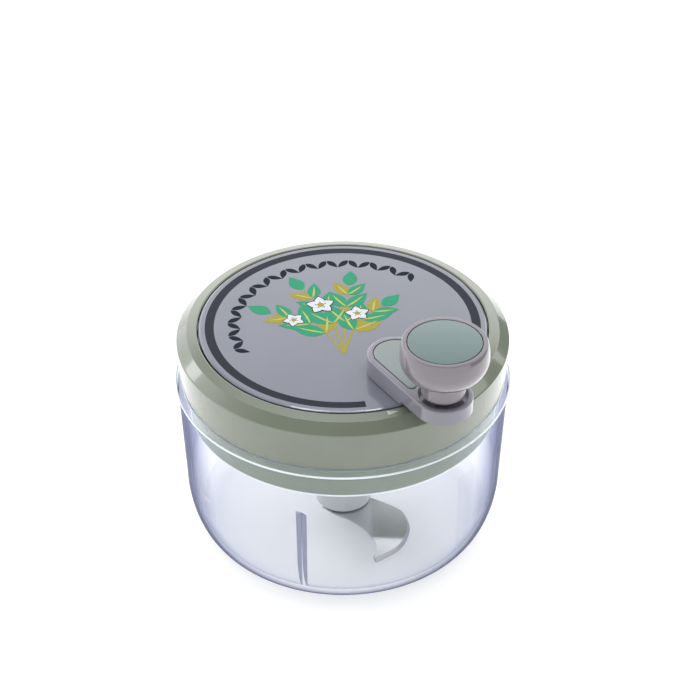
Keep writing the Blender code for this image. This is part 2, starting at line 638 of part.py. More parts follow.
def inlay_outline(margin, corner):
    """The D of the arm's inlay: a round inner end and a hollow end that follows the knob's cup."""
    half = ARM_HALF_WIDTH - margin
    clear = KNOB_CUP_RADIUS + margin * 0.6
    reach = ARM_LENGTH - math.sqrt(clear ** 2 - (half - corner) ** 2)
    spread = math.degrees(math.asin((half - corner) / clear))
    start = 180.0 + spread
    outline = arc((0, 0), half, 90, 270, 14)
    outline += arc((reach - corner, corner - half), corner, -90, 0, 3)
    outline += arc((ARM_LENGTH, 0), clear, start, 180.0 - spread, 8)[1:-1]
    outline += arc((reach - corner, half - corner), corner, 0, 90, 3)
    return outline


def make_crank_arm(grey, arm):
    bm = plate([stadium(ARM_HALF_WIDTH, ARM_LENGTH, 16)], ARM_UNDER, ARM_TOP)
    rim = [edge for edge in bm.edges if edge.calc_face_angle(0) > SMOOTH_ANGLE
           and min(point.co.z for point in edge.verts) > ARM_TOP - ARM_EDGE]
    bmesh.ops.bevel(bm, geom=rim, offset=ARM_EDGE, segments=2, profile=0.5, affect="EDGES")
    body = finish_object("crank_arm", bm, grey, arm)
    step_start = DISC_RADIUS - ARM_PIVOT_RADIUS - DISC_ROUND
    far = ARM_LENGTH + 2 * ARM_HALF_WIDTH
    under = rectangle((step_start, -2 * ARM_HALF_WIDTH), (far, 2 * ARM_HALF_WIDTH))
    cut(body, plate([under], ARM_UNDER - ARM_RISE, ARM_UNDER + ARM_CLEAR_STEP), arm)
    over = ARM_TOP + ARM_RISE
    pocket = inlay_outline(INLAY_MARGIN - SEAT_GAP, INLAY_CORNER + SEAT_GAP)
    cut(body, plate([pocket], ARM_TOP - INLAY_THICKNESS - SEAT_GAP, over), arm)
    head_seat = ARM_TOP - INLAY_THICKNESS - 3 * SEAT_GAP - ARM_PIN_HEAD
    cut(body, rod(ARM_PIN_HEAD_RADIUS + SEAT_GAP, head_seat, over), arm)
    cut(body, rod(ARM_PIN_RADIUS + SEAT_GAP, ARM_UNDER - ARM_RISE, over), arm)
    knob_axis = (ARM_LENGTH, 0)
    cut(body, rod(KNOB_CUP_RADIUS, ARM_TOP - KNOB_CUP_DEPTH, over, MEDIUM_STEPS, knob_axis), arm)
    seat = ARM_TOP - KNOB_CUP_DEPTH - KNOB_PIN_SEAT
    cut(body, rod(KNOB_PIN_RADIUS + SEAT_GAP, seat, over, centre=knob_axis), arm)
    return body


def make_arm_pin(steel, crank):
    head_foot = ARM_TOP - INLAY_THICKNESS - 2 * SEAT_GAP - ARM_PIN_HEAD
    foot = DISC_TOP - PIVOT_BORE_DEPTH + SEAT_GAP
    pin = headed_pin(ARM_PIN_RADIUS, ARM_PIN_HEAD_RADIUS, foot, head_foot, head_foot + ARM_PIN_HEAD)
    pivot = (ARM_PIVOT_RADIUS * math.cos(ARM_AZIMUTH), ARM_PIVOT_RADIUS * math.sin(ARM_AZIMUTH), 0)
    return finish_object("arm_pivot_pin", pin, steel, crank, pivot)


def make_arm_inlay(sage, arm):
    inlay = plate([inlay_outline(INLAY_MARGIN, INLAY_CORNER)], ARM_TOP - INLAY_THICKNESS, ARM_TOP)
    return finish_object("arm_inlay", inlay, sage, arm)


def make_knob_pin(steel, arm):
    foot = ARM_TOP - KNOB_CUP_DEPTH - KNOB_PIN_SEAT + SEAT_GAP
    head_foot = KNOB_TOP - CAP_THICKNESS - 3 * SEAT_GAP - KNOB_PIN_HEAD
    pin = headed_pin(KNOB_PIN_RADIUS, KNOB_PIN_HEAD_RADIUS, foot, head_foot, head_foot + KNOB_PIN_HEAD)
    return finish_object("knob_pin", pin, steel, arm, (ARM_LENGTH, 0, 0))


def knob_side():
    """The knob's outline: a straight neck, a dome out to the widest ring, and in to the top edge."""
    belly = KNOB_TOP - KNOB_BELLY_DROP
    neck_top = KNOB_FOOT + KNOB_NECK_HEIGHT
    neck_corner = (KNOB_RADIUS - KNOB_NECK_RADIUS) / 12
    top_width = KNOB_RADIUS - KNOB_TOP_RADIUS
    points = [(KNOB_NECK_RADIUS, KNOB_FOOT), (KNOB_NECK_RADIUS, neck_top - neck_corner)]
    points += oval((KNOB_NECK_RADIUS, belly), KNOB_RADIUS - KNOB_NECK_RADIUS, belly - neck_top, -84, 0, 7)
    points += oval((KNOB_TOP_RADIUS, belly), top_width, KNOB_BELLY_DROP, 0, 90, 4)[1:]
    return points


def make_knob_body(grey, knob):
    bore = KNOB_PIN_RADIUS + SEAT_GAP
    cap_seat = KNOB_TOP - CAP_THICKNESS - SEAT_GAP
    well = KNOB_PIN_HEAD_RADIUS + KNOB_WALL
    hub_top = KNOB_TOP - CAP_THICKNESS - 4 * SEAT_GAP - KNOB_PIN_HEAD
    hub_foot = ARM_TOP - KNOB_CUP_DEPTH + SEAT_GAP
    outline = [(bore, hub_foot), (KNOB_HUB_RADIUS, hub_foot), (KNOB_HUB_RADIUS, KNOB_FOOT)]
    outline += knob_side()
    outline += [(CAP_RADIUS + SEAT_GAP, KNOB_TOP), (CAP_RADIUS + SEAT_GAP, cap_seat), (well, cap_seat),
                (well, hub_top), (bore, hub_top)]
    return finish_object("knob_body", turned(outline, MEDIUM_STEPS), grey, knob)


def make_knob_cap(teal, knob):
    foot = KNOB_TOP - CAP_THICKNESS
    outline = [(0, foot), (CAP_RADIUS, foot), (CAP_RADIUS, KNOB_TOP), (CAP_RADIUS * 0.6, KNOB_TOP + CAP_DOME),
               (0, KNOB_TOP + CAP_DOME)]
    return finish_object("knob_cap", turned(outline, MEDIUM_STEPS), teal, knob)


def make_sun_gear(gear_plastic, blade):
    teeth = plate([gear_outline(SUN_TEETH, 0.0)], GEAR_FOOT, GEAR_TOP)
    sun = finish_object("sun_gear", teeth, gear_plastic, blade)
    bite = GEAR_FACE / 4
    collar = LID_FLOOR_TOP + 2 * SEAT_GAP + BUSH_FLANGE_THICKNESS
    hub_radius = SHAFT_RADIUS + BUSH_WALL / 2
    shaft_foot = LID_FLOOR_UNDER - SPINDLE_HEAD_GAP / 2
    shaft = [(0, shaft_foot), (SHAFT_RADIUS, shaft_foot), (SHAFT_RADIUS, collar), (hub_radius, collar),
             (hub_radius, GEAR_FOOT + bite), (0, GEAR_FOOT + bite)]
    add(sun, turned(shaft, MEDIUM_STEPS), blade)
    add(sun, rod(hub_radius, GEAR_TOP - bite, WEB_UNDER - SEAT_GAP, MEDIUM_STEPS), blade)
    hexagon = plate([circle(HEX_RADIUS, 6)], SPINDLE_TOP - HEX_DEPTH + SEAT_GAP, shaft_foot + bite)
    add(sun, hexagon, blade)
    return sun


def make_blade_spindle(hub_grey, blade):
    outline = [(0, SPINDLE_FOOT), (SPINDLE_FOOT_RADIUS - SPINDLE_ROUND, SPINDLE_FOOT)]
    outline += arc((SPINDLE_FOOT_RADIUS - SPINDLE_ROUND, SPINDLE_FOOT + SPINDLE_ROUND), SPINDLE_ROUND, -60, 0, 2)
    outline += [(SPINDLE_TOP_RADIUS, SPINDLE_TOP), (0, SPINDLE_TOP)]
    spindle = finish_object("blade_spindle", turned(outline, MEDIUM_STEPS), hub_grey, blade)
    over = SPINDLE_TOP + SPINDLE_HEAD_GAP
    cut(spindle, plate([circle(HEX_RADIUS + RUNNING_GAP, 6)], SPINDLE_TOP - HEX_DEPTH, over), blade)
    bore_top = SPINDLE_FOOT + SPINDLE_BORE_DEPTH
    cut(spindle, rod(BLADE_CAP_STEM + SEAT_GAP, SPINDLE_FOOT - SPINDLE_HEAD_GAP, bore_top), blade)
    for level in (1, 2):
        low = BLADE_UNDER + level * BLADE_STEP - SEAT_GAP
        slot = rectangle((TANG_START - SEAT_GAP, -TANG_HALF_WIDTH - SEAT_GAP),
                         (2 * SPINDLE_TOP_RADIUS, TANG_HALF_WIDTH + SEAT_GAP))
        cut(spindle, plate([slot], low, low + BLADE_THICKNESS + 2 * SEAT_GAP), blade, math.tau * level / 3)
    return spindle


def serrated(path):
    """Turns the last stretch of a cutting edge into saw teeth of equal length."""
    start = len(path) - 1 - SERRATION_COUNT
    edge = path[:start]
    for index in range(start, len(path) - 1):
        here = path[index]
        after = path[index + 1]
        length = math.dist(here, after)
        normal = ((after[1] - here[1]) / length, (here[0] - after[0]) / length)
        edge.append(here)
        edge.append((after[0] - normal[0] * SERRATION_DEPTH, after[1] - normal[1] * SERRATION_DEPTH))
    edge.append(path[-1])
    return edge


def lower_blade_outline():
    root = arc((0, 0), BLADE_ROOT_RADIUS, LOWER_EDGE_END, -360, 10)
    outer = smooth_path([root[-1], *BLADE_OUTER_WAYPOINTS, BLADE_TIP], 4)
    inner = smooth_path([BLADE_TIP, *BLADE_INNER_WAYPOINTS, *LOWER_EDGE_WAYPOINTS, root[0]], 5)
    return outer[:-1] + serrated(inner)[:-1] + root[:-1]


def upper_blade_outline():
    tang = [(TANG_END, -TANG_HALF_WIDTH), (TANG_START, -TANG_HALF_WIDTH), (TANG_START, TANG_HALF_WIDTH),
            (TANG_END, TANG_HALF_WIDTH)]
    shoulder = (TANG_END + TANG_FILLET, TANG_HALF_WIDTH - TANG_FILLET)
    neck = (TANG_END + TANG_FILLET, -TANG_HALF_WIDTH - TANG_FILLET)
    outer = smooth_path([shoulder, *BLADE_OUTER_WAYPOINTS, BLADE_TIP], 4)
    inner = smooth_path([BLADE_TIP, *BLADE_INNER_WAYPOINTS, *UPPER_EDGE_WAYPOINTS, neck], 5)
    return tang + outer[:-1] + serrated(inner)


def make_blades(blade_steel, blade):
    names = ("blade_lower", "blade_middle", "blade_upper")
    for level, name in enumerate(names):
        outline = upper_blade_outline() if level else lower_blade_outline()
        loops = [outline] if level else [outline, circle(BLADE_CAP_STEM + SEAT_GAP, SMALL_STEPS)]
        low = BLADE_UNDER + level * BLADE_STEP
        bm = plate(loops, low, low + BLADE_THICKNESS)
        finish_object(name, bm, blade_steel, blade, turn=math.tau * level / 3)


def make_blade_cap(hub_grey, blade):
    head_top = BLADE_UNDER - SEAT_GAP
    foot = head_top - BLADE_CAP_HEIGHT
    stem_top = SPINDLE_FOOT + SPINDLE_BORE_DEPTH - SEAT_GAP
    outline = [(0, foot), (BLADE_CAP_RADIUS * 0.8, foot), (BLADE_CAP_RADIUS, foot + BLADE_CAP_HEIGHT / 2),
               (BLADE_CAP_RADIUS, head_top), (BLADE_CAP_STEM, head_top), (BLADE_CAP_STEM, stem_top), (0, stem_top)]
    return finish_object("blade_cap", turned(outline, SMALL_STEPS), hub_grey, blade)


def main():
    clear_scene()
    clear = material("clear_plastic", (0.93, 0.94, 0.96), 0.06, transmission=1.0)
    sage = material("sage_plastic", (0.36, 0.40, 0.35), 0.28)
    grey = material("grey_plastic", (0.38, 0.39, 0.46), 0.30)
    teal = material("teal_plastic", (0.26, 0.36, 0.35), 0.28)
    rubber = material("seal_rubber", (0.78, 0.79, 0.78), 0.60)
    gear_plastic = material("gear_plastic", (0.80, 0.79, 0.74), 0.40)
    hub_grey = material("hub_plastic", (0.44, 0.46, 0.49), 0.35)
    steel = material("pin_steel", (0.60, 0.60, 0.60), 0.30, metallic=1.0)
    brass = material("bush_brass", (0.70, 0.55, 0.28), 0.35, metallic=1.0)
    blade_steel = material("blade_steel", (0.58, 0.59, 0.62), 0.28, metallic=1.0)

    lid = empty("lid_axis")
    crank = empty("crank_axis", lid)
    pivot = (ARM_PIVOT_RADIUS * math.cos(ARM_AZIMUTH), ARM_PIVOT_RADIUS * math.sin(ARM_AZIMUTH), 0)
    arm = empty("arm_axis", crank, pivot, ARM_AZIMUTH)
    knob = empty("knob_axis", arm, (ARM_LENGTH, 0, 0))
    blade = empty("blade_axis", lid)

    make_bowl(clear)
    make_lid_base(sage, lid)
    make_sealing_ring(rubber, lid)
    make_lid_cover(sage, lid)
    make_drive_bush(brass, lid)
    make_idlers(gear_plastic, steel, lid)
    make_lid_screws(steel, lid)
    make_crank_disc(grey, crank)
    make_ring_gear(gear_plastic, crank)
    make_ring_screws(steel, crank)
    make_arm_pin(steel, crank)
    make_crank_arm(grey, arm)
    make_arm_inlay(sage, arm)
    make_knob_pin(steel, arm)
    make_knob_body(grey, knob)
    make_knob_cap(teal, knob)
    make_sun_gear(gear_plastic, blade)
    make_blade_spindle(hub_grey, blade)
    make_blades(blade_steel, blade)
    make_blade_cap(hub_grey, blade)


main()
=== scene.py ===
"""The looks of the hand-cranked chopper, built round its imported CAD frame.

Metres, +Z up, -Y the front. Finer pieces stand for the CAD nodes that show, and the hidden ones keep
their solids.
"""

import json
import math

import bmesh
import bpy
from mathutils import Matrix, Vector


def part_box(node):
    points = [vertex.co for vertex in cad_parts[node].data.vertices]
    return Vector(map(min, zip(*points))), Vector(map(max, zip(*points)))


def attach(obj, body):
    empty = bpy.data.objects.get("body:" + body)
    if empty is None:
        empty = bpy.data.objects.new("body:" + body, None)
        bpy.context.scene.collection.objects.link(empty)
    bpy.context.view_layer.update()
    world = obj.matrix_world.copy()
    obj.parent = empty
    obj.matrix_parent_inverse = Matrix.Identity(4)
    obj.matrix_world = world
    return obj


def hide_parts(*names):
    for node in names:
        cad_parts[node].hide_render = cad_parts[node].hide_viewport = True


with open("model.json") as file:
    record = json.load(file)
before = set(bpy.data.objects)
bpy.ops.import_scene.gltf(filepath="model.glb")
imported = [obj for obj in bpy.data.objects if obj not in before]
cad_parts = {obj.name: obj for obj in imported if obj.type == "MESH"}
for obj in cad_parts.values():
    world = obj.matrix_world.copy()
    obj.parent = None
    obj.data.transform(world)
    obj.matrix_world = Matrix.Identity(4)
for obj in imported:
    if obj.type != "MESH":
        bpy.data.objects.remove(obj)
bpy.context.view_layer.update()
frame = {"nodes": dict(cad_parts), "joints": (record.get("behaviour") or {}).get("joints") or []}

MM = 0.001
FINE_STEPS = 160
SMOOTH_ANGLE = math.radians(38.0)

# Places taken from the frame
joints = {joint["name"]: joint for joint in frame["joints"]}
PIVOT = Vector(joints["arm_fold"]["pos_m"][:2])
KNOB_AXIS = Vector(joints["knob_spin"]["pos_m"][:2])
ARM_AZIMUTH = math.atan2(KNOB_AXIS.y - PIVOT.y, KNOB_AXIS.x - PIVOT.x)
ARM_LENGTH = (KNOB_AXIS - PIVOT).length
BOWL_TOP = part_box("bowl")[1].z
FLANGE_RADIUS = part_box("bowl")[1].x
COVER_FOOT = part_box("lid_cover")[0].z
COVER_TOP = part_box("crank_disc")[1].z - 1.0 * MM
SKIRT_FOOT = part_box("lid_base")[0].z
SKIRT_RADIUS = 59.1 * MM
DISC_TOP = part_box("crank_disc")[1].z
ARM_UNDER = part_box("crank_arm")[0].z
ARM_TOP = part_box("crank_arm")[1].z
KNOB_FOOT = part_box("knob_body")[0].z
KNOB_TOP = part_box("knob_body")[1].z
HUB_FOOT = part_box("blade_spindle")[0].z
HUB_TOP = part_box("blade_spindle")[1].z
BLADE_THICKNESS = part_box("blade_lower")[1].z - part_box("blade_lower")[0].z

# Camera
VIEW_ELEVATION = math.radians(35.9)
VIEW_DISTANCE = 0.8
VIEW_TARGET = Vector((2.7 * MM, 0, 78.0 * MM))
VIEW_LENS = 108.2

# Studio: the radiance of the white cove by elevation, behind the object and on the camera's side
FLOOR_GAP = 0.2 * MM
COVE_PEAK = 3.0
BACK_GLOW = (
    (0.0, 1.7), (12.0, 1.7), (20.0, 2.1), (33.0, 1.8), (39.0, 0.9),
    (52.0, 1.0), (62.0, 1.5), (72.0, 1.2), (90.0, 0.4),
)
FRONT_GLOW = ((0.0, 1.8), (25.0, 0.8), (50.0, 0.25), (90.0, 0.4))
COVE_TONE = (0.985, 0.990, 1.000)
FRONT_END = -0.45
BACK_START = 0.05
FLOOR_GLOW = 0.25
LIGHT_AIM = (0, 0, 0.05)

# Bowl
BOWL_RIM_RADIUS = 63.3 * MM
BOWL_FOOT_RADIUS = 61.4 * MM
BOWL_CORNER_WIDTH = 12.0 * MM
BOWL_CORNER_HEIGHT = 25.0 * MM
BOWL_WALL = 2.2 * MM
BOWL_FLOOR = 2.6 * MM
FLANGE_THICKNESS = 3.4 * MM
FLANGE_UNDER = BOWL_TOP - FLANGE_THICKNESS
BOWL_CORNER = (BOWL_FOOT_RADIUS - BOWL_CORNER_WIDTH, BOWL_CORNER_HEIGHT)
RIB_COUNT = 5
RIB_AZIMUTH = math.radians(-105.7)
RIB_THICKNESS = 2.0 * MM
RIB_DEPTH = 7.0 * MM
RIB_TOP = 48.0 * MM
RIB_SLOPE = 9.0 * MM
RIB_ROUND = 1.5 * MM
# The tube radius of the pale ring that paints a highlight line at the flange's lower edge
FLANGE_HIGHLIGHT_RADIUS = 0.4 * MM

# The clear plastic's colour by how far a face turns away from the eye: painted shade that darkens faces seen
# edge on to a deep blue, standing in for the dark surroundings they reflect. The inside and flange get a
# faint painted edge shade, and the floor a painted shade all over.
CLEAR_EDGE_SHADE = (
    (0.30, (0.985, 0.988, 0.995)),
    (0.48, (0.900, 0.910, 0.945)),
    (0.60, (0.780, 0.800, 0.880)),
    (0.70, (0.340, 0.360, 0.500)),
    (0.80, (0.130, 0.140, 0.240)),
    (1.00, (0.090, 0.100, 0.180)),
)
CLEAR_FLOOR_SHADE = ((0.30, (0.860, 0.880, 0.920)), (1.00, (0.660, 0.700, 0.800)))
CLEAR_INSIDE_EDGE_SHADE = ((0.30, (0.985, 0.988, 0.995)), (1.00, (0.860, 0.890, 0.940)))

# Lid and disc
COVER_FOOT_RADIUS = 62.2 * MM
SHOULDER_RADIUS = 63.0 * MM
SHOULDER_DROP = 3.5 * MM
CREASE_RADIUS = 59.0 * MM
LIP_RISE = 0.9 * MM
LIP_ROUND = 0.55 * MM
RECESS_RADIUS = 54.95 * MM
RECESS_FLOOR_DROP = 3.9 * MM
COVER_WALL = 2.0 * MM
TRACK_INNER = 45.2 * MM
TRACK_OUTER = 56.6 * MM
TRACK_THICKNESS = 1.8 * MM
DISC_RADIUS = 54.35 * MM
DISC_THICKNESS = 2.2 * MM
DISC_RIM_WIDTH = 2.0 * MM
DISC_RIM_FOOT = DISC_TOP - 4.6 * MM
DISC_BEVEL_WIDTH = 0.7 * MM
DISC_BEVEL_DROP = 0.35 * MM
MARK_HALF_WIDTH = 1.0 * MM
MARK_HALF_LENGTH = 2.0 * MM
MARK_AZIMUTH = math.radians(-71.5)
# The tube radius of the pale ring that paints a highlight line round the skirt's foot
SKIRT_HIGHLIGHT_RADIUS = 0.55 * MM
SKIRT_WALL = 2.2 * MM
GROOVE_DEPTH = 1.0 * MM
LID_FLOOR_TOP = COVER_FOOT + 0.8 * MM
LID_FLOOR_UNDER = LID_FLOOR_TOP - 2.5 * MM
LID_EDGE_RADIUS = 59.9 * MM
GROOVE_TOP = LID_FLOOR_TOP - 1.4 * MM
GROOVE_FOOT = GROOVE_TOP - 2.6 * MM
BUSH_BORE = 7.4 * MM
POST_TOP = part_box("lid_base")[1].z
POST_RADIUS = 4.4 * MM
PIN_SEAT_RADIUS = 2.5 * MM
PIN_SEAT_DEPTH = 3.5 * MM
SCREW_HOLE_RADIUS = 1.7 * MM

# Prints on the disc
STRIPE_OUTER = 52.0 * MM
STRIPE_INNER = 48.6 * MM
STRIPE_START = -80.5
STRIPE_END = -390.0
PRINT_FILM = 0.04 * MM
BORDER_RADIUS = 41.0 * MM
BORDER_START = 205.0
BORDER_END = 50.0
BORDER_LEAVES = 28
BORDER_LEAF = 6.2 * MM
BORDER_SLANT = math.radians(38)
SPRAY_FOOT = (0.5 * MM, -19.0 * MM)
SPRAY_TIPS = ((-29.0 * MM, 8.0 * MM), (-16.5 * MM, 24.5 * MM), (2.5 * MM, 27.5 * MM), (16.0 * MM, 13.0 * MM))
STALK_WIDTH = 0.9 * MM
LEAF_LENGTH = 14.0 * MM
LEAF_WIDTH = 7.2 * MM
LEAF_KNOTS = (9, 14, 19)
LEAF_TAPER = 0.14
LEAF_SPREAD = math.radians(44)
LEAF_LEAN = 0.12
PETALS = 5
BLOSSOM_PLACES = (
    (-8.5 * MM, 12.5 * MM, 5.2 * MM),
    (5.5 * MM, 7.0 * MM, 4.4 * MM),
    (-18.5 * MM, 2.5 * MM, 3.9 * MM),
)

# Arm and knob
ARM_HALF_WIDTH = 10.7 * MM
ARM_EDGE = 0.8 * MM
ARM_CLEAR_STEP = 1.7 * MM
ARM_STEP_OVERLAP = 0.7 * MM
INLAY_MARGIN = 2.3 * MM
INLAY_GAP = 0.45 * MM
INLAY_THICKNESS = 1.3 * MM
INLAY_CORNER = 2.0 * MM
CUP_RADIUS = 9.1 * MM
CUP_DEPTH = 2.2 * MM
KNOB_LIFT = 0.9 * MM
NECK_RADIUS = 8.1 * MM
NECK_HEIGHT = 6.0 * MM
KNOB_RADIUS = 15.95 * MM
KNOB_TOP_RADIUS = 14.75 * MM
KNOB_BELLY_DROP = 5.9 * MM
DOME_CENTRE = 2.0 * MM
DOME_SPREAD = 3.0 * MM
KNOB_BORE = 3.0 * MM
KNOB_BOSS = 5.0 * MM
CAP_RADIUS = 13.15 * MM
CAP_GAP = 0.3 * MM
CAP_THICKNESS = 1.4 * MM
CAP_SEAT_DEPTH = 2.0 * MM
CAP_CROWN = 0.3 * MM

# Blade unit
HUB_FOOT_RADIUS = 10.9 * MM
HUB_TOP_RADIUS = 11.7 * MM
OUTER_TIP = (12.9 * MM, -39.9 * MM)
INNER_TIP = (11.7 * MM, -38.2 * MM)
OUTER_WAYPOINTS = (
    (21.9 * MM, -31.2 * MM),
    (25.9 * MM, -20.8 * MM),
    (25.6 * MM, -13.4 * MM),
    (22.0 * MM, -7.3 * MM),
)
INNER_WAYPOINTS = ((13.2 * MM, -32.4 * MM), (11.7 * MM, -26.6 * MM), (8.9 * MM, -21.6 * MM))
LOWER_EDGE_WAYPOINTS = (
    (5.0 * MM, -17.2 * MM),
    (1.1 * MM, -14.0 * MM),
    (-3.8 * MM, -11.3 * MM),
    (-8.5 * MM, -7.0 * MM),
)
LOWER_BACK_START = (8.5 * MM, 1.0 * MM)
UPPER_EDGE_WAYPOINTS = ((9.6 * MM, -19.0 * MM), (10.8 * MM, -11.0 * MM), (10.8 * MM, -4.5 * MM))
UPPER_BACK_START = (10.8 * MM, 4.5 * MM)
TANG_START = 3.0 * MM
TANG_END = 11.5 * MM
TANG_HALF_WIDTH = 4.5 * MM
SPINE_SLOPE = 0.9 * MM
GRIND_WIDTH = 2.0 * MM
EDGE_THICKNESS = 0.35 * MM
BLADE_STATIONS = 60
SAW_TEETH = 18
SAW_DEPTH = 0.85 * MM
SWEEP_START = 25.0 * MM
SWEEP_SLOPE = 0.12
SWEEP_ROUND = 1.5 * MM


def polar(radius, angle):
    return Vector((radius * math.cos(angle), radius * math.sin(angle)))


def oval(centre, half_width, half_height, start, end, count):
    """Points along an ellipse, from start to end in degrees."""
    points = []
    for step in range(count + 1):
        angle = math.radians(start + (end - start) * step / count)
        across = centre[0] + half_width * math.cos(angle)
        up = centre[1] + half_height * math.sin(angle)
        points.append(Vector((across, up)))
    return points


def arc(centre, radius, start, end, count):
    return oval(centre, radius, radius, start, end, count)


def rounded(corners, closed=True, steps=5):
    """An outline whose corners, each a point and a radius, are turned into arcs."""
    path = []
    count = len(corners)
    for index, (corner, radius) in enumerate(corners):
        corner = Vector(corner)
        ends = not closed and index in (0, count - 1)
        if ends or radius == 0:
            path.append(corner)
            continue
        back = Vector(corners[index - 1][0]) - corner
        ahead = Vector(corners[(index + 1) % count][0]) - corner
        half = back.angle(ahead) / 2
        reach = min(radius / math.tan(half), back.length * 0.49, ahead.length * 0.49)
        radius = reach * math.tan(half)
        centre = corner + (back.normalized() + ahead.normalized()).normalized() * (radius / math.sin(half))
        first = corner + back.normalized() * reach - centre
        last = corner + ahead.normalized() * reach - centre
        for step in range(steps + 1):
            share = step / steps
            path.append(centre + (first * (1 - share) + last * share).normalized() * radius)
    return path


def finished(name, bm, finish, body, replaces=(), place=None):
    """Turns the mesh code's result into a piece that rides on its body."""
    bmesh.ops.recalc_face_normals(bm, faces=bm.faces)
    mesh = bpy.data.meshes.new(name)
    bm.to_mesh(mesh)
    bm.free()
    if place:
        mesh.transform(place)
    piece = bpy.data.objects.new(name, mesh)
    bpy.context.scene.collection.objects.link(piece)
    mesh.materials.append(finish)
    smooth(piece)
    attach(piece, body)
    if replaces:
        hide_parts(*replaces)
    return piece


def smooth(piece):
    piece.data.shade_smooth()
    piece.data.set_sharp_from_angle(angle=SMOOTH_ANGLE)
    weigh = piece.modifiers.new("even_normals", "WEIGHTED_NORMAL")
    weigh.keep_sharp = True


def turned(outline, steps=FINE_STEPS, closed=True):
    """A body of revolution about Z from an outline in the (r, z) plane."""
    bm = bmesh.new()
    points = [bm.verts.new((point[0], 0, point[1])) for point in outline]
    edges = [bm.edges.new(pair) for pair in zip(points, points[1:])]
    if closed:
        edges.append(bm.edges.new((points[-1], points[0])))
    bmesh.ops.spin(bm, geom=points + edges, cent=(0, 0, 0), axis=(0, 0, 1), angle=math.tau,
                   steps=steps, use_merge=True)
    bmesh.ops.remove_doubles(bm, verts=bm.verts, dist=0.001 * MM)
    return bm


def plate(loops, low, high):
    """A flat plate from low to high. The first loop is its outline and the others are holes."""
    bm = bmesh.new()
    for loop in loops:
        points = [bm.verts.new((point[0], point[1], low)) for point in loop]
        for index, point in enumerate(points):
            bm.edges.new((point, points[(index + 1) % len(points)]))
    bmesh.ops.triangle_fill(bm, use_beauty=True, use_dissolve=False, edges=bm.edges)
    grown = bmesh.ops.extrude_face_region(bm, geom=bm.faces[:])
    lifted = [item for item in grown["geom"] if isinstance(item, bmesh.types.BMVert)]
    bmesh.ops.translate(bm, verts=lifted, vec=(0, 0, high - low))
    return bm


def rim_edges(bm, height):
    """The sharp edges round a plate's face at this height."""
    bm.normal_update()
    return [edge for edge in bm.edges if all(abs(point.co.z - height) < 0.001 * MM for point in edge.verts)
            and edge.calc_face_angle(0) > math.radians(60)]


def soften(bm, height, width, steps=3):
    """Rounds the edges round a plate's face at this height."""
    edges = rim_edges(bm, height)
    bmesh.ops.bevel(bm, geom=edges, offset=width, segments=steps, profile=0.5, affect="EDGES")


def cut_away(bm, tools):
    """The mesh with every tool's shape cut out of it."""
    return combined(bm, tools, "DIFFERENCE", "EXACT")


def joined(bm, tools):
    """The mesh with every tool's shape fused to it."""
    return combined(bm, tools, "UNION", "MANIFOLD")


def combined(bm, tools, operation, solver):
    body = scratch(bm)
    cutters = [scratch(tool) for tool in tools]
    for cutter in cutters:
        step = body.modifiers.new("combine", "BOOLEAN")
        step.operation = operation
        step.solver = solver
        step.object = cutter
    graph = bpy.context.evaluated_depsgraph_get()
    result = bmesh.new()
    result.from_object(body, graph)
    for item in [body, *cutters]:
        bpy.data.objects.remove(item, do_unlink=True)
    return result


def scratch(bm):
    """A short-lived object from the mesh code's result."""
    bmesh.ops.recalc_face_normals(bm, faces=bm.faces)
    mesh = bpy.data.meshes.new("scratch")
    bm.to_mesh(mesh)
    bm.free()
    item = bpy.data.objects.new("scratch", mesh)
    bpy.context.scene.collection.objects.link(item)
    return item


def fill_ramp(ramp, stops):
    """Sets a colour ramp's stops, each a place and a colour, from low to high."""
    elements = ramp.color_ramp.elements
    elements[0].position = stops[0][0]
    elements[0].color = (*stops[0][1], 1)
    elements[1].position = stops[-1][0]
    elements[1].color = (*stops[-1][1], 1)
    for place, colour in stops[1:-1]:
        elements.new(place).color = (*colour, 1)


class Nodes:
    """A short hand for building one material's node tree."""

    def __init__(self, name):
        self.material = bpy.data.materials.new(name)
        self.material.use_nodes = True
        self.tree = self.material.node_tree
        self.shader = self.tree.nodes["Principled BSDF"]

    def add(self, kind, **values):
        node = self.tree.nodes.new(kind)
        for key, value in values.items():
            if key in node.inputs:
                node.inputs[key].default_value = value
            else:
                setattr(node, key, value)
        return node

    def link(self, source, output, target, socket):
        self.tree.links.new(source.outputs[output], target.inputs[socket])

    def noise(self, scale, detail=2.0, stretch=(1, 1, 1)):
        where = self.add("ShaderNodeTexCoord")
        mapping = self.add("ShaderNodeMapping")
        mapping.inputs["Scale"].default_value = stretch
        texture = self.add("ShaderNodeTexNoise", Scale=scale, Detail=detail)
        self.link(where, "Object", mapping, "Vector")
        self.link(mapping, "Vector", texture, "Vector")
        return texture

    def tint(self, texture, dark, light):
        ramp = self.add("ShaderNodeValToRGB")
        fill_ramp(ramp, ((0.3, dark), (0.7, light)))
        self.link(texture, "Fac", ramp, "Fac")
        self.link(ramp, "Color", self.shader, "Base Color")

    def gloss(self, texture, low, high):
        spread = self.add("ShaderNodeMapRange")
        spread.inputs["To Min"].default_value = low
        spread.inputs["To Max"].default_value = high
        self.link(texture, "Fac", spread, "Value")
        self.link(spread, "Result", self.shader, "Roughness")

    def relief(self, texture, height):
        bump = self.add("ShaderNodeBump", Strength=1.0, Distance=height)
        self.link(texture, "Fac", bump, "Height")
        self.link(bump, "Normal", self.shader, "Normal")

    def set(self, **values):
        for key, value in values.items():
            self.shader.inputs[key.replace("_", " ")].default_value = value


def shades(colour, spread):
    """The colour a little darker and a little lighter."""
    dark = tuple(value * (1 - spread) for value in colour)
    light = tuple(value * (1 + spread) for value in colour)
    return dark, light


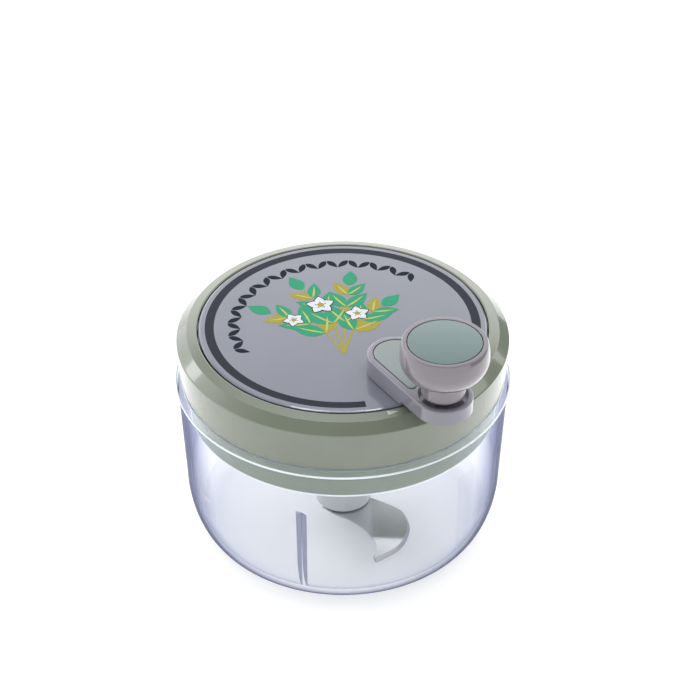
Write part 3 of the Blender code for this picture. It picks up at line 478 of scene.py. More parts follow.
def moulded(name, colour, roughness, coat):
    """Moulded plastic: faint flow marks in the colour, and a fine orange peel in the gloss."""
    nodes = Nodes(name)
    nodes.tint(nodes.noise(45.0), *shades(colour, 0.05))
    nodes.gloss(nodes.noise(900.0, 3.0), roughness * 0.85, roughness * 1.15)
    nodes.relief(nodes.noise(1600.0, 3.0), 0.004 * MM)
    nodes.set(Coat_Weight=coat, Coat_Roughness=0.06)
    return nodes.material


def printed(name, colour, shine=0.2):
    """Screen-printed ink, slightly uneven."""
    nodes = Nodes(name)
    nodes.tint(nodes.noise(700.0, 4.0), *shades(colour, 0.07))
    nodes.gloss(nodes.noise(1500.0, 2.0), 0.28, 0.36)
    nodes.set(Specular_IOR_Level=shine)
    return nodes.material


def clear_plastic(name, edge_shades):
    """Clear plastic whose colour darkens where a face is seen edge on: painted shade standing in for the
    dark surroundings that such faces reflect.
    """
    nodes = Nodes(name)
    facing = nodes.add("ShaderNodeLayerWeight", Blend=0.5)
    # This ramp paints shade: the base colour darkens as the face turns edge on.
    depth = nodes.add("ShaderNodeValToRGB")
    fill_ramp(depth, edge_shades)
    nodes.link(facing, "Facing", depth, "Fac")
    nodes.link(depth, "Color", nodes.shader, "Base Color")
    nodes.relief(nodes.noise(60.0, 1.0), 0.004 * MM)
    nodes.set(Transmission_Weight=1.0, Roughness=0.02, IOR=1.003, Coat_Weight=0.15, Coat_Roughness=0.03)
    return nodes.material


def metal(name, colour, roughness, stretch=(1, 1, 1)):
    """Metal with a fine grain, which a stretch turns into brush marks."""
    nodes = Nodes(name)
    grain = nodes.noise(500.0, 4.0, stretch)
    nodes.tint(grain, *shades(colour, 0.06))
    nodes.gloss(grain, roughness * 0.8, roughness * 1.2)
    nodes.relief(grain, 0.003 * MM)
    nodes.set(Metallic=1.0)
    return nodes.material


SAGE = moulded("sage", (0.140, 0.162, 0.118), 0.18, coat=1.0)
# The lid's sage made much lighter for the raised mark: a painted highlight on it.
MARK_SAGE_HIGHLIGHT = moulded("mark_sage_highlight", (0.42, 0.46, 0.40), 0.25, coat=0.5)
CUP_SAGE = moulded("cup_sage", (0.140, 0.180, 0.140), 0.18, coat=1.0)
GREY = moulded("lavender_grey", (0.138, 0.146, 0.188), 0.20, coat=1.0)
ARM_GREY = moulded("arm_grey", (0.178, 0.172, 0.210), 0.20, coat=1.0)
KNOB_GREY = moulded("knob_grey", (0.160, 0.142, 0.160), 0.18, coat=1.0)
TEAL = moulded("cap_teal", (0.080, 0.142, 0.138), 0.18, coat=1.0)
PANEL = moulded("panel_sage", (0.165, 0.205, 0.195), 0.20, coat=1.0)
HUB_GREY = moulded("hub_grey", (0.46, 0.48, 0.50), 0.35, coat=0.1)
GEAR_WHITE = moulded("gear_white", (0.74, 0.73, 0.68), 0.40, coat=0.0)
RUBBER = moulded("seal_rubber", (0.24, 0.30, 0.30), 0.60, coat=0.0)
# A pale colour for the thin rings that are painted highlight lines
HIGHLIGHT_WHITE = moulded("painted_highlight_white", (0.80, 0.86, 0.89), 0.30, coat=0.5)
STEEL = metal("blade_steel", (0.62, 0.63, 0.66), 0.25, (1, 30, 1))
# The blade's steel made darker for the spine faces: painted shade.
SHADED_SPINE_STEEL = metal("spine_steel_shaded", (0.36, 0.36, 0.39), 0.35)
PIN_STEEL = metal("pin_steel", (0.56, 0.56, 0.57), 0.25)
BRASS = metal("bush_brass", (0.70, 0.54, 0.27), 0.30)
# Three copies of the clear plastic that differ only in their painted shade: outside, inside and flange, and
# floor.
CLEAR = clear_plastic("clear_bowl", CLEAR_EDGE_SHADE)
CLEAR_INSIDE = clear_plastic("clear_bowl_inside", CLEAR_INSIDE_EDGE_SHADE)
SHADED_CLEAR_FLOOR = clear_plastic("clear_bowl_floor_shaded", CLEAR_FLOOR_SHADE)
INK_DARK = printed("ink_slate", (0.010, 0.014, 0.024), 0.05)
INK_STRIPE = printed("ink_stripe", (0.016, 0.019, 0.030), 0.12)
INK_GREEN = printed("ink_green", (0.012, 0.260, 0.130))
INK_OLIVE = printed("ink_olive", (0.300, 0.260, 0.030))
INK_OLIVE_LIGHT = printed("ink_light_olive", (0.42, 0.42, 0.10))
INK_WHITE = printed("ink_white", (0.600, 0.610, 0.640))


def dress_hidden_nodes():
    """The CAD nodes that keep their own solids get their materials."""
    finishes = {
        "sealing_ring": RUBBER,
        "drive_bush": BRASS,
        "ring_gear": GEAR_WHITE,
        "sun_gear": GEAR_WHITE,
        "arm_pivot_pin": PIN_STEEL,
        "knob_pin": PIN_STEEL,
        "blade_cap": HUB_GREY,
    }
    for index in (1, 2, 3):
        finishes[f"idler_gear_{index}"] = GEAR_WHITE
        finishes[f"idler_pin_{index}"] = PIN_STEEL
        finishes[f"lid_screw_{index}"] = PIN_STEEL
        finishes[f"ring_screw_{index}"] = PIN_STEEL
    for name, finish in finishes.items():
        node = frame["nodes"][name]
        node.data.materials.clear()
        node.data.materials.append(finish)


def bowl_wall_radius(height):
    """The bowl's outer radius at a height above its rounded corner."""
    share = (height - BOWL_CORNER_HEIGHT) / (FLANGE_UNDER - BOWL_CORNER_HEIGHT)
    return BOWL_FOOT_RADIUS + (BOWL_RIM_RADIUS - BOWL_FOOT_RADIUS) * share


def make_bowl():
    upper = [
        ((BOWL_FOOT_RADIUS, BOWL_CORNER_HEIGHT), 0),
        ((BOWL_RIM_RADIUS, FLANGE_UNDER), 0.5 * MM),
        ((FLANGE_RADIUS, FLANGE_UNDER), 0.9 * MM),
        ((FLANGE_RADIUS, BOWL_TOP), 0.9 * MM),
        ((BOWL_RIM_RADIUS - BOWL_WALL, BOWL_TOP), 0.5 * MM),
        ((BOWL_FOOT_RADIUS - BOWL_WALL, BOWL_CORNER_HEIGHT), 0),
    ]
    outline = [Vector((0, 0)), *oval(BOWL_CORNER, BOWL_CORNER_WIDTH, BOWL_CORNER_HEIGHT, -90, 0, 32)]
    outline += rounded(upper, closed=False)[1:-1]
    outline += oval(BOWL_CORNER, BOWL_CORNER_WIDTH - BOWL_WALL, BOWL_CORNER_HEIGHT - BOWL_FLOOR, 0, -90, 28)
    outline += [Vector((0, BOWL_FLOOR))]
    shell = joined(turned(outline, closed=False), [make_rib(index) for index in range(RIB_COUNT)])
    shell.normal_update()
    # Each region gets its own amount of painted shade.
    for face in shell.faces:
        face.material_index = bowl_region(face)
    bowl = finished("clear_bowl", shell, CLEAR, "bowl", ["bowl"])
    bowl.data.materials.append(CLEAR_INSIDE)
    bowl.data.materials.append(SHADED_CLEAR_FLOOR)
    bowl.visible_shadow = False


def bowl_region(face):
    """Which of the three clear materials a face gets: 0 outside, with the strong painted edge shade, 1
    inside and flange, with a faint one, 2 floor, with painted shade all over.
    """
    middle = face.calc_center_median()
    if face.normal.z > 0.5 and middle.z < BOWL_CORNER_HEIGHT:
        return 2
    inward = face.normal.xy.dot(middle.xy.normalized()) < -0.3
    return 1 if inward or middle.z > FLANGE_UNDER - 0.1 * MM else 0


def make_rib(index):
    """An upright rib with a sloping, rounded top, whose outer edge is buried in the bowl's wall."""
    sunk = BOWL_WALL / 2
    top_radius = bowl_wall_radius(RIB_TOP) - sunk
    inner_edge = top_radius + sunk - BOWL_WALL - RIB_DEPTH
    buried = BOWL_CORNER_WIDTH - sunk
    foot = -math.degrees(math.acos((inner_edge - BOWL_CORNER[0]) / buried))
    round_centre = (inner_edge + RIB_ROUND, RIB_TOP - RIB_SLOPE)
    side = [Vector((top_radius, RIB_TOP)), *arc(round_centre, RIB_ROUND, 130, 180, 6)]
    side += oval(BOWL_CORNER, buried, BOWL_CORNER_HEIGHT - sunk, foot, 0, 10)
    rib = plate([side], -RIB_THICKNESS / 2, RIB_THICKNESS / 2)
    azimuth = RIB_AZIMUTH + math.tau * index / RIB_COUNT
    stand = Matrix.Rotation(azimuth, 4, "Z") @ Matrix.Rotation(math.pi / 2, 4, "X")
    bmesh.ops.transform(rib, matrix=stand, verts=rib.verts)
    return rib


def make_lid_shell():
    """The cover: a wall, a bevel, a flat ring and the recess with the track that the disc turns on."""
    shoulder = COVER_TOP - SHOULDER_DROP
    deck = COVER_TOP - RECESS_FLOOR_DROP
    inner_top = COVER_TOP - COVER_WALL
    corners = [
        ((COVER_FOOT_RADIUS, COVER_FOOT), 0.3 * MM),
        ((SHOULDER_RADIUS, shoulder), 0.9 * MM),
        ((CREASE_RADIUS, COVER_TOP), 0.7 * MM),
        ((RECESS_RADIUS, COVER_TOP + LIP_RISE), LIP_ROUND),
        ((RECESS_RADIUS, deck), 0.2 * MM),
        ((TRACK_INNER, deck), 0.2 * MM),
        ((TRACK_INNER, deck - TRACK_THICKNESS), 0.2 * MM),
        ((TRACK_OUTER, deck - TRACK_THICKNESS), 0.2 * MM),
        ((TRACK_OUTER, inner_top), 0.5 * MM),
        ((CREASE_RADIUS, inner_top), 1.0 * MM),
        ((SHOULDER_RADIUS - COVER_WALL, shoulder - COVER_WALL), 1.0 * MM),
        ((COVER_FOOT_RADIUS - COVER_WALL, COVER_FOOT), 0.3 * MM),
    ]
    finished("lid_shell", turned(rounded(corners)), SAGE, "lid", ["lid_cover"])


def make_disc():
    """The crank disc: a plate with a deeper rim and a fine bevel."""
    under = DISC_TOP - DISC_THICKNESS
    rim_inside = DISC_RADIUS - DISC_RIM_WIDTH
    corners = [
        ((0, under), 0),
        ((rim_inside, under), 0.3 * MM),
        ((rim_inside, DISC_RIM_FOOT), 0.2 * MM),
        ((DISC_RADIUS, DISC_RIM_FOOT), 0.2 * MM),
        ((DISC_RADIUS, DISC_TOP - DISC_BEVEL_DROP), 0.2 * MM),
        ((DISC_RADIUS - DISC_BEVEL_WIDTH, DISC_TOP), 0.35 * MM),
        ((0, DISC_TOP), 0),
    ]
    disc = turned(rounded(corners, closed=False), closed=False)
    finished("crank_plate", disc, GREY, "crank", ["crank_disc"])


def films(name, outlines, finish, layer=1):
    """Flat printed shapes of one ink on the disc, as one piece. Higher layers lie over lower ones,
    and each shape lies a hair over the one before."""
    whole = bmesh.new()
    foot = DISC_TOP - PRINT_FILM / 2
    top = DISC_TOP + PRINT_FILM * layer / 2
    for order, outline in enumerate(outlines):
        lift = PRINT_FILM * 0.4 * order / len(outlines)
        bm = plate([outline], foot - lift / 4, top + lift)
        shape = bpy.data.meshes.new("shape")
        bm.to_mesh(shape)
        bm.free()
        whole.from_mesh(shape)
        bpy.data.meshes.remove(shape)
    finished(name, whole, finish, "crank")


def make_stripe():
    """The broken dark ring round the disc."""
    outline = arc((0, 0), STRIPE_OUTER, STRIPE_START, STRIPE_END, 180)
    outline += arc((0, 0), STRIPE_INNER, STRIPE_END, STRIPE_START, 180)
    films("print_stripe", [outline], INK_STRIPE)


def leaf(foot, heading, length, width, lean=0.0):
    """A pointed leaf from its foot along the heading. The lean bends its tip sideways."""
    along = Vector((math.cos(heading), math.sin(heading)))
    aside = Vector((-along.y, along.x))
    sides = []
    for side in (1, -1):
        for step in range(13):
            share = step / 12 if side == 1 else 1 - step / 12
            half = width / 2 * math.sin(math.pi * share ** 0.8)
            drift = lean * length * share ** 2
            sides.append(Vector(foot) + along * length * share + aside * (side * half + drift))
    return sides[:12] + sides[13:25]


def stalk(path, start_width, end_width):
    """A tapering line along the path."""
    left = []
    right = []
    for index, point in enumerate(path):
        before = path[max(0, index - 1)]
        after = path[min(len(path) - 1, index + 1)]
        along = (after - before).normalized()
        aside = Vector((-along.y, along.x))
        half = (start_width + (end_width - start_width) * index / (len(path) - 1)) / 2
        left.append(point + aside * half)
        right.append(point - aside * half)
    return left + right[::-1]


def spray_path(tip):
    """A stalk's curve from the foot of the spray to its tip."""
    foot = Vector(SPRAY_FOOT)
    tip = Vector(tip)
    middle = (foot + tip) / 2 + Vector((0.16 * (foot.x - tip.x), 3.5 * MM))
    return smooth_path([foot, middle, tip], 12)


def make_spray():
    """A spray of four leafy stalks. Its three small blossoms are added by make_blossoms."""
    greens = []
    olives = []
    veins = []
    for tip in SPRAY_TIPS:
        path = spray_path(tip)
        olives.append(stalk(path, STALK_WIDTH, STALK_WIDTH * 0.5))
        greens.append(leaf(path[-2], heading(path, -2), LEAF_LENGTH * 0.72, LEAF_WIDTH * 0.8))
        for order, index in enumerate(LEAF_KNOTS):
            size = 1.0 - LEAF_TAPER * order
            for side in (1, -1):
                turn = heading(path, index) + side * LEAF_SPREAD
                lean = -LEAF_LEAN * side
                shape = leaf(path[index], turn, LEAF_LENGTH * size, LEAF_WIDTH * size, lean)
                is_olive = (order + (side > 0)) % 3 == 0
                (olives if is_olive else greens).append(shape)
                veins.append(leaf(path[index], turn, LEAF_LENGTH * size * 0.8, LEAF_WIDTH * 0.12, lean))
    films("print_stalks", olives, INK_OLIVE, 2)
    films("print_leaves", greens, INK_GREEN, 3)
    films("print_veins", veins, INK_OLIVE_LIGHT, 4)


def heading(path, index):
    """The direction of the path's step from this point."""
    step = path[index + 1] - path[index]
    return math.atan2(step.y, step.x)


def make_blossoms():
    """White blossoms with dark edges, each turned by its place."""
    edges = []
    petals = []
    hearts = []
    seeds = []
    for x, y, size in BLOSSOM_PLACES:
        middle = Vector((x, y))
        for index in range(PETALS):
            turn = math.tau * index / PETALS + x * 90
            foot = middle + polar(size * 0.12, turn)
            edges.append(leaf(foot, turn, size * 1.02, size * 0.86))
            petals.append(leaf(foot, turn, size * 0.94, size * 0.72))
            seeds.append(arc(middle + polar(size * 0.36, turn), size * 0.055, 0, 330, 8))
        hearts.append(arc(middle, size * 0.26, 0, 345, 20))
    films("print_petal_edges", edges, INK_DARK, 5)
    films("print_petals", petals, INK_WHITE, 6)
    films("print_hearts", hearts, INK_OLIVE, 7)
    films("print_seeds", seeds, INK_DARK, 7)


def make_border():
    """A garland of small leaves along the disc's back, slanted to one side and the other by turns."""
    shapes = []
    for index in range(BORDER_LEAVES):
        azimuth = math.radians(BORDER_START + (BORDER_END - BORDER_START) * index / (BORDER_LEAVES - 1))
        slant = BORDER_SLANT if index % 2 else -BORDER_SLANT
        inward = azimuth + math.pi + slant
        foot = polar(BORDER_RADIUS, azimuth) - polar(BORDER_LEAF / 2, inward)
        shapes.append(leaf(foot, inward, BORDER_LEAF, BORDER_LEAF * 0.42))
    films("print_border", shapes, INK_DARK)


def stadium(half_width, length, steps):
    """The outline of a bar with round ends, from the origin along +X."""
    return arc((length, 0), half_width, -90, 90, steps) + arc((0, 0), half_width, 90, 270, steps)


def inlay_outline(margin, corner):
    """The D of the arm's inlay: a round inner end and a hollow end that follows the knob's cup."""
    half = ARM_HALF_WIDTH - margin
    clear = CUP_RADIUS + margin * 0.6
    reach = ARM_LENGTH - math.sqrt(clear ** 2 - (half - corner) ** 2)
    spread = math.degrees(math.asin((half - corner) / clear))
    outline = arc((0, 0), half, 90, 270, 40)
    outline += arc((reach - corner, corner - half), corner, -90, 0, 8)
    outline += arc((ARM_LENGTH, 0), clear, 180 + spread, 180 - spread, 20)[1:-1]
    outline += arc((reach - corner, half - corner), corner, 0, 90, 8)
    return outline


def make_arm():
    """The arm with its inlay and the knob's cup. Beyond the disc its underside steps up."""
    place = Matrix.Translation((PIVOT.x, PIVOT.y, 0)) @ Matrix.Rotation(ARM_AZIMUTH, 4, "Z")
    body = plate([stadium(ARM_HALF_WIDTH, ARM_LENGTH, 60)], ARM_UNDER, ARM_TOP)
    soften(body, ARM_TOP, ARM_EDGE, 5)
    near = DISC_RADIUS - PIVOT.length - ARM_STEP_OVERLAP
    far = ARM_LENGTH + 2 * ARM_HALF_WIDTH
    wide = 2 * ARM_HALF_WIDTH
    under = [(near, -wide), (far, -wide), (far, wide), (near, wide)]
    seat = inlay_outline(INLAY_MARGIN - INLAY_GAP / 2, INLAY_CORNER)
    cup = arc((ARM_LENGTH, 0), CUP_RADIUS, 0, 360, 96)[:-1]
    tools = [
        plate([under], ARM_UNDER - ARM_CLEAR_STEP, ARM_UNDER + ARM_CLEAR_STEP),
        plate([seat], ARM_TOP - INLAY_THICKNESS, ARM_TOP + MM),
        plate([cup], ARM_TOP - CUP_DEPTH, ARM_TOP + MM),
    ]
    shell = cut_away(body, tools)
    arm = finished("arm_shell", shell, ARM_GREY, "arm", ["crank_arm"], place)
    edge = arm.modifiers.new("soft_edges", "BEVEL")
    edge.width = 0.18 * MM
    edge.segments = 3
    edge.limit_method = "ANGLE"
    edge.angle_limit = math.radians(50)
    edge.harden_normals = False
    arm.modifiers.move(1, 0)
    outline = inlay_outline(INLAY_MARGIN + INLAY_GAP / 2, INLAY_CORNER - INLAY_GAP / 2)
    panel = plate([outline], ARM_TOP - INLAY_THICKNESS, ARM_TOP)
    soften(panel, ARM_TOP, 0.2 * MM)
    finished("arm_panel", panel, PANEL, "arm", ["arm_inlay"], place)


def knob_side():
    """The knob's outline: a straight neck, a dome out to the widest ring, and in to the top edge."""
    belly = KNOB_TOP - KNOB_BELLY_DROP
    foot = ARM_TOP + KNOB_LIFT
    neck_top = foot + NECK_HEIGHT
    spread = KNOB_RADIUS - DOME_CENTRE
    depth = (belly - neck_top) / math.sqrt(1 - ((NECK_RADIUS - DOME_CENTRE) / spread) ** 2)
    start = -math.degrees(math.acos((NECK_RADIUS + DOME_SPREAD - DOME_CENTRE) / spread))
    dome = oval((DOME_CENTRE, belly), spread, depth, start, 0, 24)
    neck = [
        ((NECK_RADIUS - 1.2 * MM, foot), 0),
        ((NECK_RADIUS, foot), 0.5 * MM),
        ((NECK_RADIUS, neck_top), 2.0 * MM),
        (dome[0], 0),
    ]
    shoulder = oval((KNOB_TOP_RADIUS, belly), KNOB_RADIUS - KNOB_TOP_RADIUS, KNOB_BELLY_DROP, 0, 90, 16)
    return rounded(neck, closed=False)[:-1] + dome + shoulder[1:]


def make_knob():
    """The knob with its boss, its bore and the cap let into its top."""
    side = knob_side()
    seat = CAP_RADIUS + CAP_GAP
    seat_floor = KNOB_TOP - CAP_SEAT_DEPTH
    inner = [
        (side[-1], 0),
        ((seat, KNOB_TOP), 0.25 * MM),
        ((seat, seat_floor), 0.1 * MM),
        ((KNOB_BORE, seat_floor), 0.1 * MM),
        ((KNOB_BORE, KNOB_FOOT), 0.1 * MM),
        ((KNOB_BOSS, KNOB_FOOT), 0.1 * MM),
        ((KNOB_BOSS, side[0].y), 0.1 * MM),
        (side[0], 0),
    ]
    outline = side + rounded(inner, closed=False)[1:-1]
    place = Matrix.Translation((KNOB_AXIS.x, KNOB_AXIS.y, 0))
    finished("knob_grip", turned(outline), KNOB_GREY, "knob", ["knob_body"], place)
    foot = KNOB_TOP - CAP_THICKNESS
    corners = [
        ((0, foot), 0),
        ((CAP_RADIUS, foot), 0.2 * MM),
        ((CAP_RADIUS, KNOB_TOP), 0.3 * MM),
        ((0, KNOB_TOP + CAP_CROWN), 0),
    ]
    cap = turned(rounded(corners, closed=False), closed=False)
    finished("knob_panel", cap, TEAL, "knob", ["knob_cap"], place)


def smooth_path(points, per_span):
    """A Catmull-Rom curve through the points, which keeps its first and last point."""
    points = [Vector(point) for point in points]
    knots = [2 * points[0] - points[1], *points, 2 * points[-1] - points[-2]]
    path = []
    for index in range(1, len(knots) - 2):
        before, here, after, beyond = knots[index - 1:index + 3]
        slope = after - before
        bend = 2 * before - 5 * here + 4 * after - beyond
        twist = 3 * here - before - 3 * after + beyond
        for step in range(per_span):
            t = step / per_span
            path.append((2 * here + slope * t + bend * t ** 2 + twist * t ** 3) / 2)
    path.append(points[-1])
    return path


def even_steps(path, count):
    """The path again, as this many steps of equal length."""
    lengths = [0.0]
    for here, after in zip(path, path[1:]):
        lengths.append(lengths[-1] + (after - here).length)
    points = []
    index = 0
    for step in range(count + 1):
        target = lengths[-1] * step / count
        while index < len(path) - 2 and lengths[index + 1] < target:
            index += 1
        share = (target - lengths[index]) / (lengths[index + 1] - lengths[index])
        points.append(path[index].lerp(path[index + 1], share))
    return points


def blade_section(outer, inner, low):
    """A cut across the blade: a sloping spine, a flat top out to the thin edge, and the grind below it."""
    across = inner - outer
    spine = min(SPINE_SLOPE, across.length * 0.4)
    grind = min(GRIND_WIDTH, across.length * 0.4)
    top = low + BLADE_THICKNESS
    crest = outer + across.normalized() * spine
    ledge = inner - across.normalized() * grind
    section = [(outer, low), (outer, low + EDGE_THICKNESS), (crest, top), (inner, top),
               (inner, top - EDGE_THICKNESS), (ledge, low)]
    return [(point.x, point.y, height + swept_rise(point)) for point, height in section]


def swept_rise(point):
    """How much the blade's outer end curves upwards."""
    reach = max(0.0, -point.y - SWEEP_START)
    return SWEEP_SLOPE * reach ** 2 / (reach + SWEEP_ROUND)


def make_blade(name, level, back_start, edge_waypoints):
    """A curved blade with a saw edge, turned by a third for each level. The upper ones have a tang."""
    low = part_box(name)[0].z
    outer = even_steps(smooth_path([OUTER_TIP, *OUTER_WAYPOINTS, back_start], 16), BLADE_STATIONS)
    inner = even_steps(smooth_path([INNER_TIP, *INNER_WAYPOINTS, *edge_waypoints], 16), BLADE_STATIONS)
    first_tooth = BLADE_STATIONS - 2 * SAW_TEETH
    bm = bmesh.new()
    rings = []
    for index, (back, edge) in enumerate(zip(outer, inner)):
        if index >= first_tooth and index % 2:
            edge = edge + (back - edge).normalized() * SAW_DEPTH
        rings.append([bm.verts.new(point) for point in blade_section(back, edge, low)])
    for here, after in zip(rings, rings[1:]):
        for index in range(len(here)):
            following = (index + 1) % len(here)
            face = bm.faces.new((here[index], here[following], after[following], after[index]))
            # The spine faces and the root end take the darker steel: painted shade.
            face.material_index = 1 if index < 2 else 0
    bm.faces.new(rings[0]).material_index = 1
    bm.faces.new(rings[-1])
    if level:
        tang = [
            (TANG_START, -TANG_HALF_WIDTH),
            (TANG_END, -TANG_HALF_WIDTH),
            (TANG_END, TANG_HALF_WIDTH),
            (TANG_START, TANG_HALF_WIDTH),
        ]
        bm = joined(bm, [plate([tang], low, low + BLADE_THICKNESS)])
    place = Matrix.Rotation(math.tau * level / 3, 4, "Z")
    blade = finished(f"{name}_steel", bm, STEEL, "blade_unit", [name], place)
    blade.data.materials.append(SHADED_SPINE_STEEL)


def make_blades():
    make_blade("blade_lower", 0, LOWER_BACK_START, LOWER_EDGE_WAYPOINTS)
    make_blade("blade_middle", 1, UPPER_BACK_START, UPPER_EDGE_WAYPOINTS)
    make_blade("blade_upper", 2, UPPER_BACK_START, UPPER_EDGE_WAYPOINTS)


def make_hub():
    corners = [
        ((0, HUB_FOOT), 0),
        ((HUB_FOOT_RADIUS, HUB_FOOT), 0.9 * MM),
        ((HUB_TOP_RADIUS, HUB_TOP), 0.5 * MM),
        ((0, HUB_TOP), 0),
    ]
    hub = turned(rounded(corners, closed=False), closed=False)
    finished("hub_shell", hub, HUB_GREY, "blade_unit", ["blade_spindle"])


def make_mark():
    """The small raised wedge on the lid's flat ring, beside the crank's rest position. Its colour is the
    lid's sage lightened into a painted highlight.
    """
    middle = (RECESS_RADIUS + CREASE_RADIUS) / 2
    outline = [
        (middle - MARK_HALF_WIDTH, -MARK_HALF_LENGTH),
        (middle + MARK_HALF_WIDTH, -MARK_HALF_LENGTH),
        (middle, MARK_HALF_LENGTH),
    ]
    top = COVER_TOP + LIP_RISE / 2 + 0.5 * MM
    bm = plate([outline], COVER_TOP - 0.3 * MM, top)
    soften(bm, top, 0.15 * MM)
    place = Matrix.Rotation(MARK_AZIMUTH, 4, "Z")
    finished("position_mark", bm, MARK_SAGE_HIGHLIGHT, "lid", place=place)


def make_lid_cup():
    """The lid's base: a floor over the bowl's mouth, a skirt with the seal's groove, and the posts."""
    inside = SKIRT_RADIUS - SKIRT_WALL
    groove = SKIRT_RADIUS - GROOVE_DEPTH
    corners = [
        ((BUSH_BORE, LID_FLOOR_UNDER), 0.2 * MM),
        ((inside, LID_FLOOR_UNDER), 0.8 * MM),
        ((inside, SKIRT_FOOT), 0.8 * MM),
        ((SKIRT_RADIUS, SKIRT_FOOT), 0.8 * MM),
        ((SKIRT_RADIUS, GROOVE_FOOT), 0.15 * MM),
        ((groove, GROOVE_FOOT), 0.1 * MM),
        ((groove, GROOVE_TOP), 0.1 * MM),
        ((LID_EDGE_RADIUS, GROOVE_TOP), 0.15 * MM),
        ((LID_EDGE_RADIUS, LID_FLOOR_TOP), 0.3 * MM),
        ((BUSH_BORE, LID_FLOOR_TOP), 0.2 * MM),
    ]
    posts = []
    holes = []
    for index in (1, 2, 3):
        idler = joints[f"idler_{index}_spin"]["pos_m"][:2]
        posts.append(disc_at(idler, POST_RADIUS, LID_FLOOR_TOP - MM, POST_TOP))
        holes.append(disc_at(idler, PIN_SEAT_RADIUS, POST_TOP - PIN_SEAT_DEPTH, POST_TOP + MM))
        low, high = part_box(f"lid_screw_{index}")
        screw = ((low + high) / 2)[:2]
        holes.append(disc_at(screw, SCREW_HOLE_RADIUS, LID_FLOOR_UNDER - MM, LID_FLOOR_TOP + MM))
    cup = cut_away(joined(turned(rounded(corners)), posts), holes)
    finished("lid_cup", cup, CUP_SAGE, "lid", ["lid_base"])


def disc_at(centre, radius, low, high):
    return plate([arc(centre, radius, 0, 360, 48)[:-1]], low, high)


def make_skirt_highlight():
    """A thin pale ring round the foot of the skirt: a painted highlight line along the skirt's rounded foot.
    """
    centre = (SKIRT_RADIUS - SKIRT_HIGHLIGHT_RADIUS * 0.8, SKIRT_FOOT + SKIRT_HIGHLIGHT_RADIUS * 0.4)
    highlight_ring = turned(arc(centre, SKIRT_HIGHLIGHT_RADIUS, 0, 360, 16)[:-1])
    finished("skirt_highlight_line", highlight_ring, HIGHLIGHT_WHITE, "lid")


def make_flange_highlight():
    """A thin pale ring at the lower edge of the bowl's flange: a painted highlight line along the flange's
    rounded edge.
    """
    centre = (FLANGE_RADIUS - FLANGE_HIGHLIGHT_RADIUS, FLANGE_UNDER + FLANGE_HIGHLIGHT_RADIUS * 2.4)
    highlight_ring = turned(arc(centre, FLANGE_HIGHLIGHT_RADIUS, 0, 360, 16)[:-1])
    finished("flange_highlight_line", highlight_ring, HIGHLIGHT_WHITE, "bowl").visible_shadow = False


def area_light(name, place, width, height, radiance):
    """A softbox of this radiance, turned towards the object."""
    light = bpy.data.lights.new(name, "AREA")
    light.shape = "RECTANGLE"
    light.size = width
    light.size_y = height
    light.energy = radiance * math.pi * width * height
    lamp = bpy.data.objects.new(name, light)
    bpy.context.scene.collection.objects.link(lamp)
    lamp.location = place
    lamp.rotation_euler = (Vector(LIGHT_AIM) - Vector(place)).to_track_quat("-Z", "Y").to_euler()
    return lamp


def make_cove():
    """A white cove that is bright behind the object and dim over the camera."""
    bpy.context.scene.view_settings.view_transform = "Standard"
    world = bpy.data.worlds.new("studio")
    world.use_nodes = True
    bpy.context.scene.world = world
    tree = world.node_tree
    where = tree.nodes.new("ShaderNodeTexCoord")
    split = tree.nodes.new("ShaderNodeSeparateXYZ")
    tree.links.new(where.outputs["Generated"], split.inputs["Vector"])
    back = glow_ramp(tree, split, BACK_GLOW)
    front = glow_ramp(tree, split, FRONT_GLOW)
    side = tree.nodes.new("ShaderNodeMapRange")
    side.inputs["From Min"].default_value = FRONT_END
    side.inputs["From Max"].default_value = BACK_START
    side.interpolation_type = "SMOOTHSTEP"
    tree.links.new(split.outputs["Y"], side.inputs["Value"])
    blend = tree.nodes.new("ShaderNodeMixRGB")
    tree.links.new(side.outputs["Result"], blend.inputs["Fac"])
    tree.links.new(front.outputs["Color"], blend.inputs["Color1"])
    tree.links.new(back.outputs["Color"], blend.inputs["Color2"])
    tree.links.new(blend.outputs["Color"], tree.nodes["Background"].inputs["Color"])
    tree.nodes["Background"].inputs["Strength"].default_value = COVE_PEAK


def make_lights():
    """A fill from above that isn't mirrored, two softboxes that are, and two flags on the right."""
    overhead = area_light("overhead_fill", (0, 0, 1.6), width=1.6, height=1.6, radiance=0.7)
    overhead.visible_glossy = False
    area_light("top_strip", (0, 0, 1.5), width=0.9, height=0.14, radiance=8.0)
    area_light("left_softbox", (-1.04, 0.53, 0.66), width=0.24, height=0.42, radiance=2.8)
    side_flag("right_flag", (0.42, -0.02, 0.10), width=0.50, height=0.36, azimuth=0)
    side_flag("back_right_flag", (0.60, 0.74, 0.14), width=0.70, height=0.32, azimuth=52)


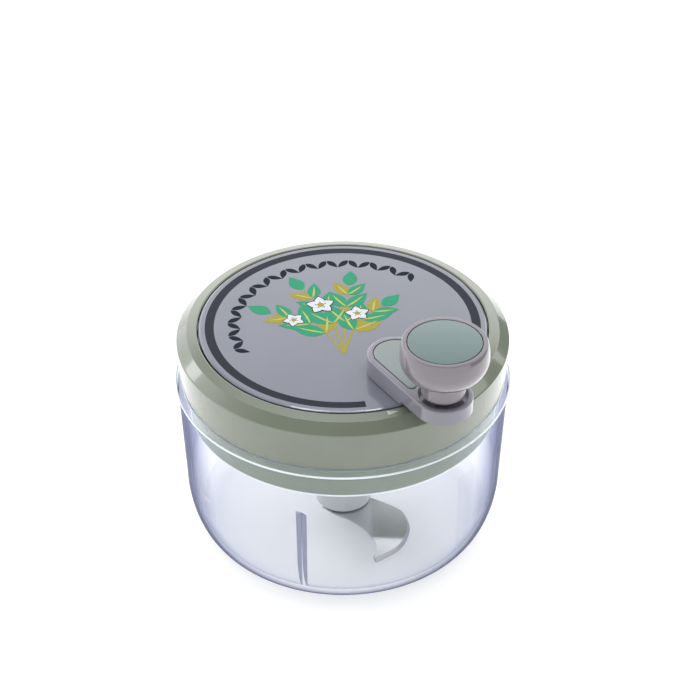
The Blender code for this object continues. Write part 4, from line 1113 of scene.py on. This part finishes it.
def make_floor():
    bpy.ops.mesh.primitive_plane_add(size=6.0, location=(0, 0, -FLOOR_GAP))
    floor = bpy.context.object
    floor.name = "studio_floor"
    nodes = Nodes("floor_paint")
    nodes.tint(nodes.noise(3.0), (0.90, 0.90, 0.90), (0.92, 0.92, 0.92))
    nodes.set(Roughness=0.9, Emission_Color=(1, 1, 1, 1), Emission_Strength=FLOOR_GLOW)
    floor.data.materials.append(nodes.material)


def side_flag(name, place, width, height, azimuth):
    """A grey flag beside the object, at this azimuth in degrees, which only its reflections show."""
    turn = math.pi / 2 + math.radians(azimuth)
    bpy.ops.mesh.primitive_plane_add(size=1.0, location=place, rotation=(math.pi / 2, 0, turn))
    flag = bpy.context.object
    flag.name = name
    flag.scale = (width, height, 1)
    flag.visible_camera = False
    flag.visible_diffuse = False
    flag.visible_shadow = False
    flag.visible_transmission = False
    nodes = Nodes("flag_cloth")
    nodes.tint(nodes.noise(20.0), (0.10, 0.10, 0.12), (0.12, 0.12, 0.14))
    nodes.set(Roughness=0.95)
    flag.data.materials.append(nodes.material)


def glow_ramp(tree, split, glows):
    """The world's brightness over the sine of the elevation."""
    ramp = tree.nodes.new("ShaderNodeValToRGB")
    stops = []
    for elevation, glow in glows:
        colour = tuple(glow / COVE_PEAK * tone for tone in COVE_TONE)
        stops.append((math.sin(math.radians(elevation)), colour))
    fill_ramp(ramp, stops)
    tree.links.new(split.outputs["Z"], ramp.inputs["Fac"])
    return ramp


def make_camera():
    camera = bpy.data.objects.new("camera", bpy.data.cameras.new("camera"))
    bpy.context.scene.collection.objects.link(camera)
    camera.data.lens = VIEW_LENS
    back = Vector((0, -math.cos(VIEW_ELEVATION), math.sin(VIEW_ELEVATION)))
    camera.location = VIEW_TARGET + back * VIEW_DISTANCE
    camera.rotation_euler = (math.pi / 2 - VIEW_ELEVATION, 0, 0)
    bpy.context.scene.camera = camera


make_cove()
make_lights()
make_floor()
make_camera()
dress_hidden_nodes()
make_bowl()
make_lid_shell()
make_lid_cup()
make_skirt_highlight()
make_flange_highlight()
make_mark()
make_disc()
make_stripe()
make_border()
make_spray()
make_blossoms()
make_arm()
make_knob()
make_blades()
make_hub()
